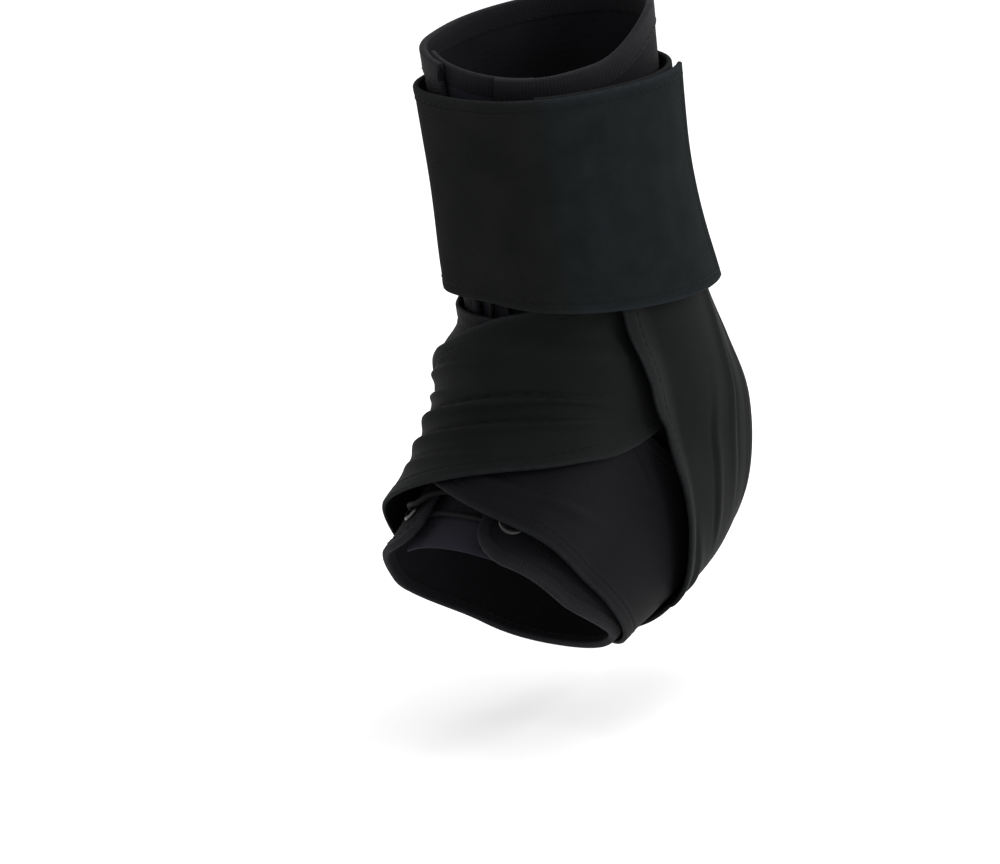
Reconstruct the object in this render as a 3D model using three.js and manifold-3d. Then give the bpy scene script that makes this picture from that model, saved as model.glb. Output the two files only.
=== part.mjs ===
// Lace-up ankle brace for a left foot, in the form it has when worn.
// Millimetres, +Z up along the leg, toes towards -Y and a little down, outer side at +X.
// The origin lies on the leg's middle line, at the height of the sole's lowest cloth near it.
import * as THREE from 'three';
import { mergeVertices } from 'three/addons/utils/BufferGeometryUtils.js';
import Module from 'manifold-3d';

const wasm = await Module();
wasm.setup();

// Driving sizes of the foot and leg form that the brace fits. BRACE_HEIGHT is taken at the shin.
const BRACE_HEIGHT = 204;
const FOOT_REACH = 156;
const LEG_WIDTH = 80;

// Driving sizes of the cloth
const BODY_WALL = 2.0;
const TONGUE_WALL = 2.0;
const STRAP_WALL = 1.2;
const OUTER_STRAP_WIDTH = 56;
const INNER_STRAP_WIDTH = 62;
const CUFF_WALL = 1.6;
const CUFF_HEIGHT = 75.5;
const CUFF_TILT = 2.1;
const CUFF_DROP = 4.6;
const COLLAR_SHOWING = 11.3;
const COLLAR_DIP = 10;
const BINDING_HEIGHT = 3.2;
const BINDING_THICKNESS = 3.6;
const HEEL_HOLE_WIDTH = 40;
const HEEL_HOLE_HEIGHT = 50;

// Driving sizes of the lacing
const LACE_THICKNESS = 2.0;
const EYELET_HOLE = 5.1;
const EYELET_BARREL = 0.6;
const EYELET_FLANGE = 1.4;
const EYELET_PLATE = 0.7;

// Clearances: cloth to skin, layer to layer, and small parts in their seats
const SKIN_GAP = 0.4;
const LAYER_GAP = 0.5;
const STRAP_GAP = 1.3;
const SEAT_GAP = 0.45;
const LACE_GAP = 0.8;

// Angles round the leg in degrees: 0 at the shin, 90 at the outer side, 180 at the back or sole
const LACING_GAP_ANGLE = 17;
const TONGUE_ANGLE = 36;
const EYELET_ANGLE = 30;
const RIDGE_INNER_ANGLE = 38;
const RIDGE_OUTER_ANGLE = 78;

// Sections of the foot and leg form, from the toe side to the collar. frontY and backY are
// shares of FOOT_REACH, frontZ and backZ of BRACE_HEIGHT, halfWidth of LEG_WIDTH. flat squares
// the back half of the section, as the sole does.
const FORM = [
  { frontY: -0.628, frontZ: 0.180, backY: -0.397, backZ: -0.045, halfWidth: 0.48, flat: 0.25 },
  { frontY: -0.510, frontZ: 0.248, backY: -0.192, backZ: -0.010, halfWidth: 0.45, flat: 0.25 },
  { frontY: -0.410, frontZ: 0.314, backY: 0.032, backZ: 0.020, halfWidth: 0.42, flat: 0.25 },
  { frontY: -0.345, frontZ: 0.375, backY: 0.225, backZ: 0.065, halfWidth: 0.40, flat: 0.20 },
  { frontY: -0.302, frontZ: 0.431, backY: 0.370, backZ: 0.165, halfWidth: 0.39, flat: 0.10 },
  { frontY: -0.275, frontZ: 0.480, backY: 0.390, backZ: 0.280, halfWidth: 0.41, flat: 0.00 },
  { frontY: -0.262, frontZ: 0.539, backY: 0.320, backZ: 0.400, halfWidth: 0.41, flat: 0.00 },
  { frontY: -0.262, frontZ: 0.647, backY: 0.238, backZ: 0.549, halfWidth: 0.405, flat: 0.00 },
  { frontY: -0.270, frontZ: 0.784, backY: 0.214, backZ: 0.735, halfWidth: 0.415, flat: 0.00 },
  { frontY: -0.289, frontZ: 1.000, backY: 0.215, backZ: 1.030, halfWidth: 0.43, flat: 0.00 },
];
const TOP_STATION = FORM.length - 1;

// Route of one figure-of-eight strap: over the instep, under the sole and up the other side.
// layer counts the straps that lie under it.
const OUTER_STRAP_ROUTE = [
  { station: 6.30, angle: 84, layer: 0.2 },
  { station: 5.57, angle: 58, layer: 0.95 },
  { station: 4.63, angle: 30, layer: 1.4 },
  { station: 3.53, angle: 0, layer: 1.3 },
  { station: 2.65, angle: -35, layer: 1.1 },
  { station: 2.15, angle: -75, layer: 1 },
  { station: 2.00, angle: -115, layer: 1 },
  { station: 2.05, angle: -150, layer: 1 },
  { station: 2.22, angle: -180, layer: 1 },
  { station: 2.50, angle: -212, layer: 1 },
  { station: 3.02, angle: -241, layer: 1.2 },
  { station: 4.02, angle: -260, layer: 1.4 },
  { station: 5.10, angle: -264, layer: 1.4 },
  { station: 6.10, angle: -262, layer: 1.3 },
  { station: 7.00, angle: -259, layer: 1.0 },
  { station: 7.60, angle: -257, layer: 0.5 },
];
const INNER_STRAP_ROUTE = [
  { station: 4.85, angle: -60, layer: 0 },
  { station: 4.30, angle: -42, layer: 0.02 },
  { station: 3.92, angle: -22, layer: 0.1 },
  { station: 3.62, angle: 2, layer: 0.12 },
  { station: 2.58, angle: 35, layer: 0.15 },
  { station: 2.22, angle: 75, layer: 0.12 },
  { station: 2.13, angle: 115, layer: 0 },
  { station: 2.20, angle: 150, layer: 0 },
  { station: 2.35, angle: 180, layer: 0 },
  { station: 2.60, angle: 212, layer: 0 },
  { station: 3.15, angle: 236, layer: 0 },
  { station: 4.10, angle: 252, layer: 0 },
  { station: 5.10, angle: 257, layer: 0 },
  { station: 6.10, angle: 257, layer: 0 },
  { station: 7.00, angle: 256, layer: 0 },
  { station: 7.60, angle: 255, layer: 0 },
];

// Stations of the eyelet pairs up the instep
const EYELET_STATIONS = [1.2, 2.0, 2.95, 4.1, 5.4];

const frontLine = new THREE.CatmullRomCurve3(
  FORM.map((row) => new THREE.Vector3(0, row.frontY * FOOT_REACH, row.frontZ * BRACE_HEIGHT)),
  false, 'catmullrom', 0.5);
const backLine = new THREE.CatmullRomCurve3(
  FORM.map((row) => new THREE.Vector3(0, row.backY * FOOT_REACH, row.backZ * BRACE_HEIGHT)),
  false, 'catmullrom', 0.5);
const sizeLine = new THREE.CatmullRomCurve3(
  FORM.map((row) => new THREE.Vector3(row.halfWidth * LEG_WIDTH, row.flat, 0)),
  false, 'catmullrom', 0.5);

// Point of the skin form at a station along the foot and an angle round it
function skin(station, angle) {
  const share = THREE.MathUtils.clamp(station / TOP_STATION, 0, 1);
  const front = frontLine.getPoint(share);
  const back = backLine.getPoint(share);
  const size = sizeLine.getPoint(share);
  const turn = THREE.MathUtils.degToRad(angle);
  const side = Math.sin(turn);
  const cosine = Math.cos(turn);
  const depth = cosine < 0 ? cosine * (1 + size.y * side * side) : cosine;
  const point = front.clone().add(back).multiplyScalar(0.5);
  point.addScaledVector(front.sub(back), depth / 2);
  point.x = size.x * side;
  return point;
}

const PROBE_STATION = 0.02;
const PROBE_ANGLE = 1;

// Directions on the form: along the stations, round the angle, and out of the skin
function directions(station, angle) {
  const low = THREE.MathUtils.clamp(station - PROBE_STATION, 0, TOP_STATION);
  const high = THREE.MathUtils.clamp(station + PROBE_STATION, 0, TOP_STATION);
  const along = skin(high, angle).sub(skin(low, angle)).divideScalar(high - low);
  const round = skin(station, angle + PROBE_ANGLE).sub(skin(station, angle - PROBE_ANGLE));
  round.divideScalar(2 * PROBE_ANGLE);
  const out = round.clone().cross(along).normalize();
  return { along, round, out };
}

function lifted(station, angle, lift) {
  return skin(station, angle).addScaledVector(directions(station, angle).out, lift);
}

// 0 below start, 1 above end, smooth between
function rise(value, start, end) {
  return THREE.MathUtils.smoothstep(value, Math.min(start, end), Math.max(start, end));
}

// Angle away from the shin, 0 to 180
function fromShin(angle) {
  const turned = THREE.MathUtils.euclideanModulo(angle, 360);
  return turned > 180 ? 360 - turned : turned;
}

// Heights of the layers above the skin
const TONGUE_TOP = SKIN_GAP + TONGUE_WALL;
const LACE_UNDER = TONGUE_TOP + SEAT_GAP + LACE_THICKNESS / 2;
const FLAP_UNDER = LACE_UNDER + LACE_THICKNESS / 2 + LAYER_GAP;
const FLAP_TOP = FLAP_UNDER + BODY_WALL;
const EYELET_TOP = FLAP_TOP + SEAT_GAP + EYELET_PLATE;
const LACE_OVER = EYELET_TOP + LACE_GAP + LACE_THICKNESS / 2;
const LACE_TOP = LACE_OVER + LACE_THICKNESS / 2;
const LAYER_PITCH = STRAP_WALL + STRAP_GAP;

// Above the last eyelet the flaps stay up for a share of a station, then sink to the tongue
const FLAP_MARGIN = 0.3;
const FLAP_RUNOUT = 0.6;
const LACING_END = EYELET_STATIONS.at(-1) + FLAP_MARGIN;
const LACING_CLEAR = LACING_END + FLAP_RUNOUT;

// How far the flaps of the body stand on the tongue and the lace at the front
function ridge(station, angle) {
  const front = 1 - rise(fromShin(angle), RIDGE_INNER_ANGLE, RIDGE_OUTER_ANGLE);
  const laced = 1 - rise(station, LACING_END, LACING_CLEAR);
  return { front, laced };
}

function bodyUnder(station, angle) {
  const { front, laced } = ridge(station, angle);
  const overTongue = THREE.MathUtils.lerp(TONGUE_TOP + LAYER_GAP, FLAP_UNDER, laced);
  return THREE.MathUtils.lerp(SKIN_GAP, overTongue, front);
}

function bodyTop(station, angle) {
  return bodyUnder(station, angle) + BODY_WALL;
}

// Surface that the first strap lies on: the body, raised over the lace
function strapSeat(station, angle) {
  const { front, laced } = ridge(station, angle);
  return bodyTop(station, angle) + STRAP_GAP + (LACE_TOP - FLAP_TOP) * front * laced;
}

// Closed cloth of columns by rows: place gives station and angle, under and over the heights
function cloth(columns, rows, place, under, over) {
  const positions = [];
  const triangles = [];
  const layerSize = (columns + 1) * (rows + 1);
  for (const height of [over, under]) {
    for (let row = 0; row <= rows; row += 1) {
      for (let column = 0; column <= columns; column += 1) {
        const spot = place(column / columns, row / rows);
        const lift = height(spot.station, spot.angle, spot);
        lifted(spot.station, spot.angle, lift).toArray(positions, positions.length);
      }
    }
  }
  const at = (column, row, layer) => layer * layerSize + row * (columns + 1) + column;
  const quad = (a, b, c, d) => triangles.push(a, b, c, a, c, d);
  for (let row = 0; row < rows; row += 1) {
    for (let column = 0; column < columns; column += 1) {
      quad(at(column, row, 0), at(column + 1, row, 0), at(column + 1, row + 1, 0), at(column, row + 1, 0));
      quad(at(column, row + 1, 1), at(column + 1, row + 1, 1), at(column + 1, row, 1), at(column, row, 1));
    }
  }
  for (let column = 0; column < columns; column += 1) {
    quad(at(column, 0, 1), at(column + 1, 0, 1), at(column + 1, 0, 0), at(column, 0, 0));
    quad(at(column, rows, 0), at(column + 1, rows, 0), at(column + 1, rows, 1), at(column, rows, 1));
  }
  for (let row = 0; row < rows; row += 1) {
    quad(at(0, row, 0), at(0, row + 1, 0), at(0, row + 1, 1), at(0, row, 1));
    quad(at(columns, row + 1, 0), at(columns, row, 0), at(columns, row, 1), at(columns, row + 1, 1));
  }
  const geometry = new THREE.BufferGeometry();
  geometry.setAttribute('position', new THREE.Float32BufferAttribute(positions, 3));
  geometry.setIndex(triangles);
  return geometry;
}

const WELD_DISTANCE = 1e-4;

// Geometry with its shared corners merged and nothing but positions
function welded(geometry) {
  const bare = geometry.clone();
  bare.deleteAttribute('normal');
  bare.deleteAttribute('uv');
  return mergeVertices(bare, WELD_DISTANCE);
}

function toManifold(geometry) {
  const closed = welded(geometry);
  return new wasm.Manifold(new wasm.Mesh({
    numProp: 3,
    vertProperties: new Float32Array(closed.attributes.position.array),
    triVerts: new Uint32Array(closed.index.array),
  }));
}

function fromManifold(solid) {
  const mesh = solid.getMesh();
  const geometry = new THREE.BufferGeometry();
  geometry.setAttribute('position', new THREE.BufferAttribute(mesh.vertProperties, 3));
  geometry.setIndex(new THREE.BufferAttribute(mesh.triVerts, 1));
  return geometry;
}

// Geometry moved so that its Y axis stands out of the skin at a place on the form
function seated(geometry, station, angle, lift) {
  const { out } = directions(station, angle);
  const turn = new THREE.Quaternion().setFromUnitVectors(new THREE.Vector3(0, 1, 0), out);
  const moved = geometry.clone().applyQuaternion(turn);
  const origin = lifted(station, angle, lift);
  return moved.translate(origin.x, origin.y, origin.z);
}

// The collar's edge is scooped at the outer front: angles over which the scoop starts and ends
const SCOOP_START = [-60, 50];
const SCOOP_END = [68, 125];

// Station of the collar's edge at an angle
function collarEdge(angle) {
  const signed = THREE.MathUtils.euclideanModulo(angle + 180, 360) - 180;
  const scoop = rise(signed, ...SCOOP_START) * (1 - rise(signed, ...SCOOP_END));
  const stationHeight = skin(TOP_STATION, angle).distanceTo(skin(TOP_STATION - 1, angle));
  return TOP_STATION - COLLAR_DIP * scoop / stationHeight;
}

const HALVINGS = 24;

// Station where the form reaches a height, at one angle, found by halving
function stationAt(height, angle) {
  let low = 0;
  let high = TOP_STATION;
  for (let step = 0; step < HALVINGS; step += 1) {
    const middle = (low + high) / 2;
    if (skin(middle, angle).z < height) low = middle;
    else high = middle;
  }
  return (low + high) / 2;
}

// Body

const BODY_COLUMNS = 36;
const BODY_ROWS = 25;
const TOE_EDGE_FRONT = 0.78;
const TOE_EDGE_SOLE = 0.85;
const TOE_EDGE_REACH = 0.25;
const TOE_REACH_START = [12, 36];
const TOE_REACH_END = [72, 132];

// Station of the toe edge: it reaches forward between the flap's corner and the sole
function toeEdge(angle) {
  const turned = fromShin(angle);
  const back = rise(turned, ...TOE_REACH_END);
  const reach = rise(turned, ...TOE_REACH_START) * (1 - back);
  return THREE.MathUtils.lerp(TOE_EDGE_FRONT, TOE_EDGE_SOLE, back) - TOE_EDGE_REACH * reach;
}

function bodyPlace(across, up) {
  const angle = THREE.MathUtils.lerp(LACING_GAP_ANGLE, 360 - LACING_GAP_ANGLE, across);
  return { station: THREE.MathUtils.lerp(toeEdge(angle), collarEdge(angle), up), angle };
}

const HEEL_HOLE_STATION = 4.5;
const HEEL_HOLE_DEPTH = 60;
const HEEL_HOLE_SIDES = 12;
const heelBack = skin(HEEL_HOLE_STATION, 180);

// Oval bar along Y, through the back of the heel
function heelHoleCutter() {
  const outline = new THREE.Shape();
  outline.absellipse(0, 0, HEEL_HOLE_WIDTH / 2, HEEL_HOLE_HEIGHT / 2, 0, 2 * Math.PI, false, 0);
  const cutter = new THREE.ExtrudeGeometry(outline, {
    depth: HEEL_HOLE_DEPTH,
    bevelEnabled: false,
    curveSegments: HEEL_HOLE_SIDES,
  });
  cutter.rotateX(-Math.PI / 2);
  return cutter.translate(0, heelBack.y - HEEL_HOLE_DEPTH / 2, heelBack.z);
}

const EYELET_SIDES = 8;
const EYELET_CUT_WALLS = 3;
const barrelRadius = EYELET_HOLE / 2 + EYELET_BARREL;

function eyeletHoleCutter(station, angle) {
  const radius = barrelRadius + SEAT_GAP;
  const cutter = new THREE.CylinderGeometry(
    radius, radius, EYELET_CUT_WALLS * BODY_WALL, EYELET_SIDES);
  return seated(cutter, station, angle, (FLAP_UNDER + FLAP_TOP) / 2);
}

let bodySolid = toManifold(cloth(BODY_COLUMNS, BODY_ROWS, bodyPlace, bodyUnder, bodyTop));
bodySolid = bodySolid.subtract(toManifold(heelHoleCutter()));
for (const station of EYELET_STATIONS) {
  for (const side of [-1, 1]) {
    bodySolid = bodySolid.subtract(toManifold(eyeletHoleCutter(station, side * EYELET_ANGLE)));
  }
}

// Tongue

const TONGUE_COLUMNS = 5;
const TONGUE_ROWS = 20;
const TONGUE_TOE_STATION = 0.65;

function tonguePlace(across, up) {
  const angle = THREE.MathUtils.lerp(-TONGUE_ANGLE, TONGUE_ANGLE, across);
  return { station: THREE.MathUtils.lerp(TONGUE_TOE_STATION, collarEdge(angle), up), angle };
}

const tongue = cloth(TONGUE_COLUMNS, TONGUE_ROWS, tonguePlace, () => SKIN_GAP, () => TONGUE_TOP);

// Straps

const STRAP_STEPS = 45;
const STRAP_ROWS = 7;
const WALK_STEPS = 6;

// Route with stations and angles turned to about millimetres, so that its steps are even
const STATION_LENGTH = BRACE_HEIGHT / TOP_STATION;
const DEGREE_LENGTH = Math.PI * LEG_WIDTH / 360;

function routeCurve(route) {
  const knots = route.map((knot) => new THREE.Vector3(
    knot.station * STATION_LENGTH, knot.angle * DEGREE_LENGTH, knot.layer));
  return new THREE.CatmullRomCurve3(knots, false, 'catmullrom', 0.5);
}

// Walk over the skin from a place, in a direction, for a distance
function walk(place, heading, distance) {
  const spot = { station: place.station, angle: place.angle };
  const stride = distance / WALK_STEPS;
  const direction = heading.clone();
  for (let step = 0; step < WALK_STEPS; step += 1) {
    const { along, round, out } = directions(spot.station, spot.angle);
    direction.addScaledVector(out, -direction.dot(out)).normalize();
    const aa = along.dot(along);
    const ar = along.dot(round);
    const rr = round.dot(round);
    const da = direction.dot(along);
    const dr = direction.dot(round);
    const determinant = aa * rr - ar * ar;
    spot.station += stride * (da * rr - dr * ar) / determinant;
    spot.angle += stride * (dr * aa - da * ar) / determinant;
  }
  return spot;
}

function strap(route, width) {
  const curve = routeCurve(route);
  const ribs = [];
  for (let step = 0; step <= STRAP_STEPS; step += 1) {
    const share = step / STRAP_STEPS;
    const middle = curve.getPointAt(share);
    const travel = curve.getTangentAt(share);
    const station = middle.x / STATION_LENGTH;
    const angle = middle.y / DEGREE_LENGTH;
    const { along, round, out } = directions(station, angle);
    const heading = along.multiplyScalar(travel.x / STATION_LENGTH);
    heading.addScaledVector(round, travel.y / DEGREE_LENGTH).normalize();
    ribs.push({ station, angle, layer: middle.z, across: out.cross(heading) });
  }
  const place = (alongShare, acrossShare) => {
    const rib = ribs[Math.round(alongShare * STRAP_STEPS)];
    const distance = (acrossShare - 0.5) * width;
    const spot = walk(rib, rib.across, distance);
    return { ...spot, layer: rib.layer };
  };
  const under = (station, angle, spot) => strapSeat(station, angle) + spot.layer * LAYER_PITCH;
  const over = (station, angle, spot) => under(station, angle, spot) + STRAP_WALL;
  return cloth(STRAP_STEPS, STRAP_ROWS, place, under, over);
}

// Cuff

const CUFF_COLUMNS = 44;
const CUFF_ROWS = 5;
const CUFF_START_ANGLE = 35;
const CUFF_TURN = 450;
const CUFF_TILT_ANGLE = 115;
const CUFF_DROP_ANGLE = 165;
const CUFF_LAP_START = 330;
const CUFF_LAP_END = 390;
const CUFF_TOP = BRACE_HEIGHT - COLLAR_SHOWING;

// Strap ends under the cuff, at the outer and the inner side: the angles over which each stack
// starts and ends, its count of layers at the cuff's foot and at its top
const OUTER_STACK = { start: [0, 32], end: [152, 200], footLayers: 2.3, topLayers: 0.5 };
const INNER_STACK = { start: [152, 200], end: [325, 358], footLayers: 1.1, topLayers: 0.5 };
const STACK_THINS = [6.9, 8.3];

function stackLayers(stack, station, angle) {
  const present = rise(angle, ...stack.start) * (1 - rise(angle, ...stack.end));
  const thinned = rise(station, ...STACK_THINS);
  return present * THREE.MathUtils.lerp(stack.footLayers, stack.topLayers, thinned);
}

function cuffPlace(across, up) {
  const angle = CUFF_START_ANGLE + CUFF_TURN * across;
  const tilt = CUFF_TILT * Math.cos(THREE.MathUtils.degToRad(angle - CUFF_TILT_ANGLE));
  const drop = CUFF_DROP * Math.cos(THREE.MathUtils.degToRad(angle - CUFF_DROP_ANGLE));
  const height = CUFF_TOP - tilt - (CUFF_HEIGHT + drop) * (1 - up);
  return { station: stationAt(height, angle), angle };
}

// The cuff stands on the strap ends at both sides, and on itself where it laps
function cuffUnder(station, angle) {
  const turned = THREE.MathUtils.euclideanModulo(angle, 360);
  const layers = stackLayers(OUTER_STACK, station, turned)
    + stackLayers(INNER_STACK, station, turned);
  const lap = rise(angle, CUFF_LAP_START, CUFF_LAP_END) * (CUFF_WALL + STRAP_GAP);
  return strapSeat(station, angle) + layers * LAYER_PITCH + lap;
}

const cuff = cloth(CUFF_COLUMNS, CUFF_ROWS, cuffPlace, cuffUnder,
  (station, angle) => cuffUnder(station, angle) + CUFF_WALL);

// Binding of the collar edge

const BINDING_STEPS = 30;
const BINDING_SHOULDER = 0.7;
const BINDING_CROWN = 0.5;

function bindingPoint(angle, height, out) {
  const edge = collarEdge(angle);
  const lift = (bodyUnder(edge, angle) + bodyTop(edge, angle)) / 2;
  const { along, out: outward } = directions(edge, angle);
  const point = lifted(edge, angle, lift);
  return point.addScaledVector(along.normalize(), height).addScaledVector(outward, out);
}

function collarBinding() {
  const half = BINDING_THICKNESS / 2;
  const profile = [
    { height: SEAT_GAP, out: -half },
    { height: SEAT_GAP, out: half },
    { height: SEAT_GAP + BINDING_SHOULDER * BINDING_HEIGHT, out: half },
    { height: SEAT_GAP + BINDING_HEIGHT, out: BINDING_CROWN * half },
    { height: SEAT_GAP + BINDING_HEIGHT, out: -BINDING_CROWN * half },
    { height: SEAT_GAP + BINDING_SHOULDER * BINDING_HEIGHT, out: -half },
  ];
  const positions = [];
  const triangles = [];
  const count = profile.length;
  for (let step = 0; step <= BINDING_STEPS; step += 1) {
    const angle = THREE.MathUtils.lerp(LACING_GAP_ANGLE, 360 - LACING_GAP_ANGLE, step / BINDING_STEPS);
    for (const corner of profile) {
      bindingPoint(angle, corner.height, corner.out).toArray(positions, positions.length);
    }
  }
  for (let step = 0; step < BINDING_STEPS; step += 1) {
    for (let corner = 0; corner < count; corner += 1) {
      const next = (corner + 1) % count;
      const a = step * count + corner;
      const b = step * count + next;
      triangles.push(a, a + count, b + count, a, b + count, b);
    }
  }
  const last = BINDING_STEPS * count;
  for (let corner = 1; corner < count - 1; corner += 1) {
    triangles.push(0, corner, corner + 1);
    triangles.push(last, last + corner + 1, last + corner);
  }
  const geometry = new THREE.BufferGeometry();
  geometry.setAttribute('position', new THREE.Float32BufferAttribute(positions, 3));
  geometry.setIndex(triangles);
  return geometry;
}

// Eyelets

function eyelet(station, angle) {
  const inner = EYELET_HOLE / 2;
  const outer = barrelRadius + EYELET_FLANGE;
  const foot = FLAP_UNDER;
  const plate = FLAP_TOP + SEAT_GAP;
  const profile = [
    new THREE.Vector2(inner, foot),
    new THREE.Vector2(barrelRadius, foot),
    new THREE.Vector2(barrelRadius, plate),
    new THREE.Vector2(outer, plate),
    new THREE.Vector2(outer - EYELET_PLATE / 2, EYELET_TOP),
    new THREE.Vector2(inner, EYELET_TOP),
    new THREE.Vector2(inner, foot),
  ];
  return seated(new THREE.LatheGeometry(profile, EYELET_SIDES), station, angle, 0);
}

// Lace: crosses the gap from eyelet to eyelet, under one flap and up through the next hole

const LACE_SIDES = 3;

class WaypointCurve extends THREE.CatmullRomCurve3 {
  getUtoTmapping(share) {
    return share;
  }
}

// Chosen stops of the lace. climb goes from 0, under the flaps, to 1, over the eyelets.
// Up through one eyelet: inward is the angle from the eyelet towards the shin.
const THROUGH_EYELET = [
  { inward: 9, climb: 0 },
  { inward: 4, climb: 0 },
  { inward: 1.2, climb: 0.125 },
  { inward: 0, climb: 0.39 },
  { inward: 1.2, climb: 0.875 },
  { inward: 4, climb: 1 },
  { inward: 9, climb: 1 },
];
// From one pair of eyelets to the next: up is the share of the way, toward -1 at the side left
// and 1 at the side reached. The two strands cross with one above the other.
const CROSSING = [
  { up: 0.25, toward: -1, climbAbove: 0.94, climbBelow: 0.94 },
  { up: 0.50, toward: 0, climbAbove: 0.69, climbBelow: 0.25 },
  { up: 0.75, toward: 1, climbAbove: 0.02, climbBelow: 0.02 },
];
const CROSSING_ANGLE = 12;
const BAR_ANGLES = [-12, -4, 4, 12];
// The two ends, run up between tongue and cuff: beyond counts stations past the last eyelet
const LACE_END = [
  { beyond: 0.35, angle: 13, climb: 0.69 },
  { beyond: 0.70, angle: 8, climb: 0.03 },
  { beyond: 1.20, angle: 5, climb: 0 },
  { beyond: 1.80, angle: 5, climb: 0 },
];

function strand(side) {
  const stops = [];
  let hand = side;
  EYELET_STATIONS.forEach((station, index) => {
    const below = EYELET_STATIONS[index - 1];
    const crossing = index > 0 ? CROSSING : [];
    for (const stop of crossing) {
      stops.push({
        station: THREE.MathUtils.lerp(below, station, stop.up),
        angle: hand * stop.toward * CROSSING_ANGLE,
        climb: side > 0 ? stop.climbAbove : stop.climbBelow,
      });
    }
    for (const stop of THROUGH_EYELET) {
      stops.push({ station, angle: hand * (EYELET_ANGLE - stop.inward), climb: stop.climb });
    }
    hand = -hand;
  });
  for (const stop of LACE_END) {
    stops.push({
      station: EYELET_STATIONS.at(-1) + stop.beyond,
      angle: -hand * stop.angle,
      climb: stop.climb,
    });
  }
  return stops;
}

function lace() {
  const base = EYELET_STATIONS[0];
  const bar = BAR_ANGLES.map((angle) => ({ station: base, angle, climb: 0 }));
  const stops = [...strand(-1).reverse(), ...bar, ...strand(1)];
  const points = stops.map((stop) => lifted(
    stop.station, stop.angle, THREE.MathUtils.lerp(LACE_UNDER, LACE_OVER, stop.climb)));
  const outline = new THREE.Shape();
  outline.absarc(0, 0, LACE_THICKNESS / 2, 0, 2 * Math.PI, false);
  return new THREE.ExtrudeGeometry(outline, {
    steps: points.length - 1,
    curveSegments: LACE_SIDES,
    extrudePath: new WaypointCurve(points, false, 'centripetal'),
    bevelEnabled: false,
  });
}

// Assembly

const brace = new THREE.Group();

function addPiece(name, geometry, look) {
  const mesh = new THREE.Mesh(welded(geometry), new THREE.MeshStandardMaterial(look));
  mesh.geometry.computeVertexNormals();
  mesh.name = name;
  brace.add(mesh);
}

const NYLON = { color: 0x18181b, roughness: 0.85, metalness: 0 };
const LOOP_CLOTH = { color: 0x1d1d20, roughness: 0.95, metalness: 0 };
const WEBBING = { color: 0x151517, roughness: 0.8, metalness: 0 };
const BLACK_METAL = { color: 0x26262a, roughness: 0.35, metalness: 0.9 };

addPiece('brace_body', fromManifold(bodySolid), NYLON);
addPiece('tongue', tongue, NYLON);
addPiece('collar_binding', collarBinding(), WEBBING);
addPiece('inner_strap', strap(INNER_STRAP_ROUTE, INNER_STRAP_WIDTH), WEBBING);
addPiece('outer_strap', strap(OUTER_STRAP_ROUTE, OUTER_STRAP_WIDTH), WEBBING);
addPiece('cuff_wrap', cuff, LOOP_CLOTH);
addPiece('lace', lace(), WEBBING);
EYELET_STATIONS.forEach((station, index) => {
  addPiece(`eyelet_outer_${index + 1}`, eyelet(station, EYELET_ANGLE), BLACK_METAL);
  addPiece(`eyelet_inner_${index + 1}`, eyelet(station, -EYELET_ANGLE), BLACK_METAL);
});

export default brace;
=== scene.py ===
# %% [markdown]
# ## A lace-up ankle brace in black cloth
# The real brace is sewn from flat cloth and then laced and strapped into its worn form.
# Everything here is one of three things: a sheet that lies on that form, a tape that is folded
# over an edge, or a small hard part. So the file first rebuilds the form, then lays each
# sheet on it at its own height, and then sews the details on.

# %% Load the frame
import math

import bmesh
import bpy
import numpy as np
from mathutils import Matrix, Vector


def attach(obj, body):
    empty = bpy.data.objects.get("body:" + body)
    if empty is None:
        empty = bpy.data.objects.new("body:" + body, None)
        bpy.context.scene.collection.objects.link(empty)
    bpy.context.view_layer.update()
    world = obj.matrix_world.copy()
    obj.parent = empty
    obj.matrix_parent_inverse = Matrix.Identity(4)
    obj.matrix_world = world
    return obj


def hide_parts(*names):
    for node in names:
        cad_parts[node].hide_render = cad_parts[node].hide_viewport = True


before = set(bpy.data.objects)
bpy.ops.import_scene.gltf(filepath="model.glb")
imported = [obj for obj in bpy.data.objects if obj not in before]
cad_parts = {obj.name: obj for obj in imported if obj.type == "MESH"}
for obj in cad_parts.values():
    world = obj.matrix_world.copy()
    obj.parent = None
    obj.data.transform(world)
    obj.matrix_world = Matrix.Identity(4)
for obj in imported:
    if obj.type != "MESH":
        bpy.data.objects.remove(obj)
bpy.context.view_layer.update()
print("nodes in the frame:", len(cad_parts))

# %% [markdown]
# ### Camera
# The picture looks at the brace from the toe side and a little from above, with a long lens
# and the camera turned slightly about its own axis. The camera is placed by its angles round
# a point, because then each of them can be tuned alone.

# %% Camera
MM = 0.001
CAMERA_AZIMUTH = math.radians(40.8)
CAMERA_ELEVATION = math.radians(15.7)
CAMERA_ROLL = math.radians(-6.9)
CAMERA_DISTANCE = 1300 * MM
CAMERA_TARGET = Vector((-44.8, 0.0, 58.2)) * MM
SENSOR_WIDTH = 36.0
FOCAL_SHARE = 3.6243  # focal length as a share of the sensor's width


def camera_axes(azimuth, elevation, roll):
    """Right, up and back of a camera at these angles, as the columns of a matrix."""
    flat = math.cos(elevation)
    back = Vector((math.sin(azimuth) * flat, -math.cos(azimuth) * flat, math.sin(elevation)))
    right = Vector((math.cos(azimuth), math.sin(azimuth), 0.0))
    up = back.cross(right)
    turned_right = math.cos(roll) * right + math.sin(roll) * up
    turned_up = math.cos(roll) * up - math.sin(roll) * right
    return Matrix((turned_right, turned_up, back)).transposed(), back


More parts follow.
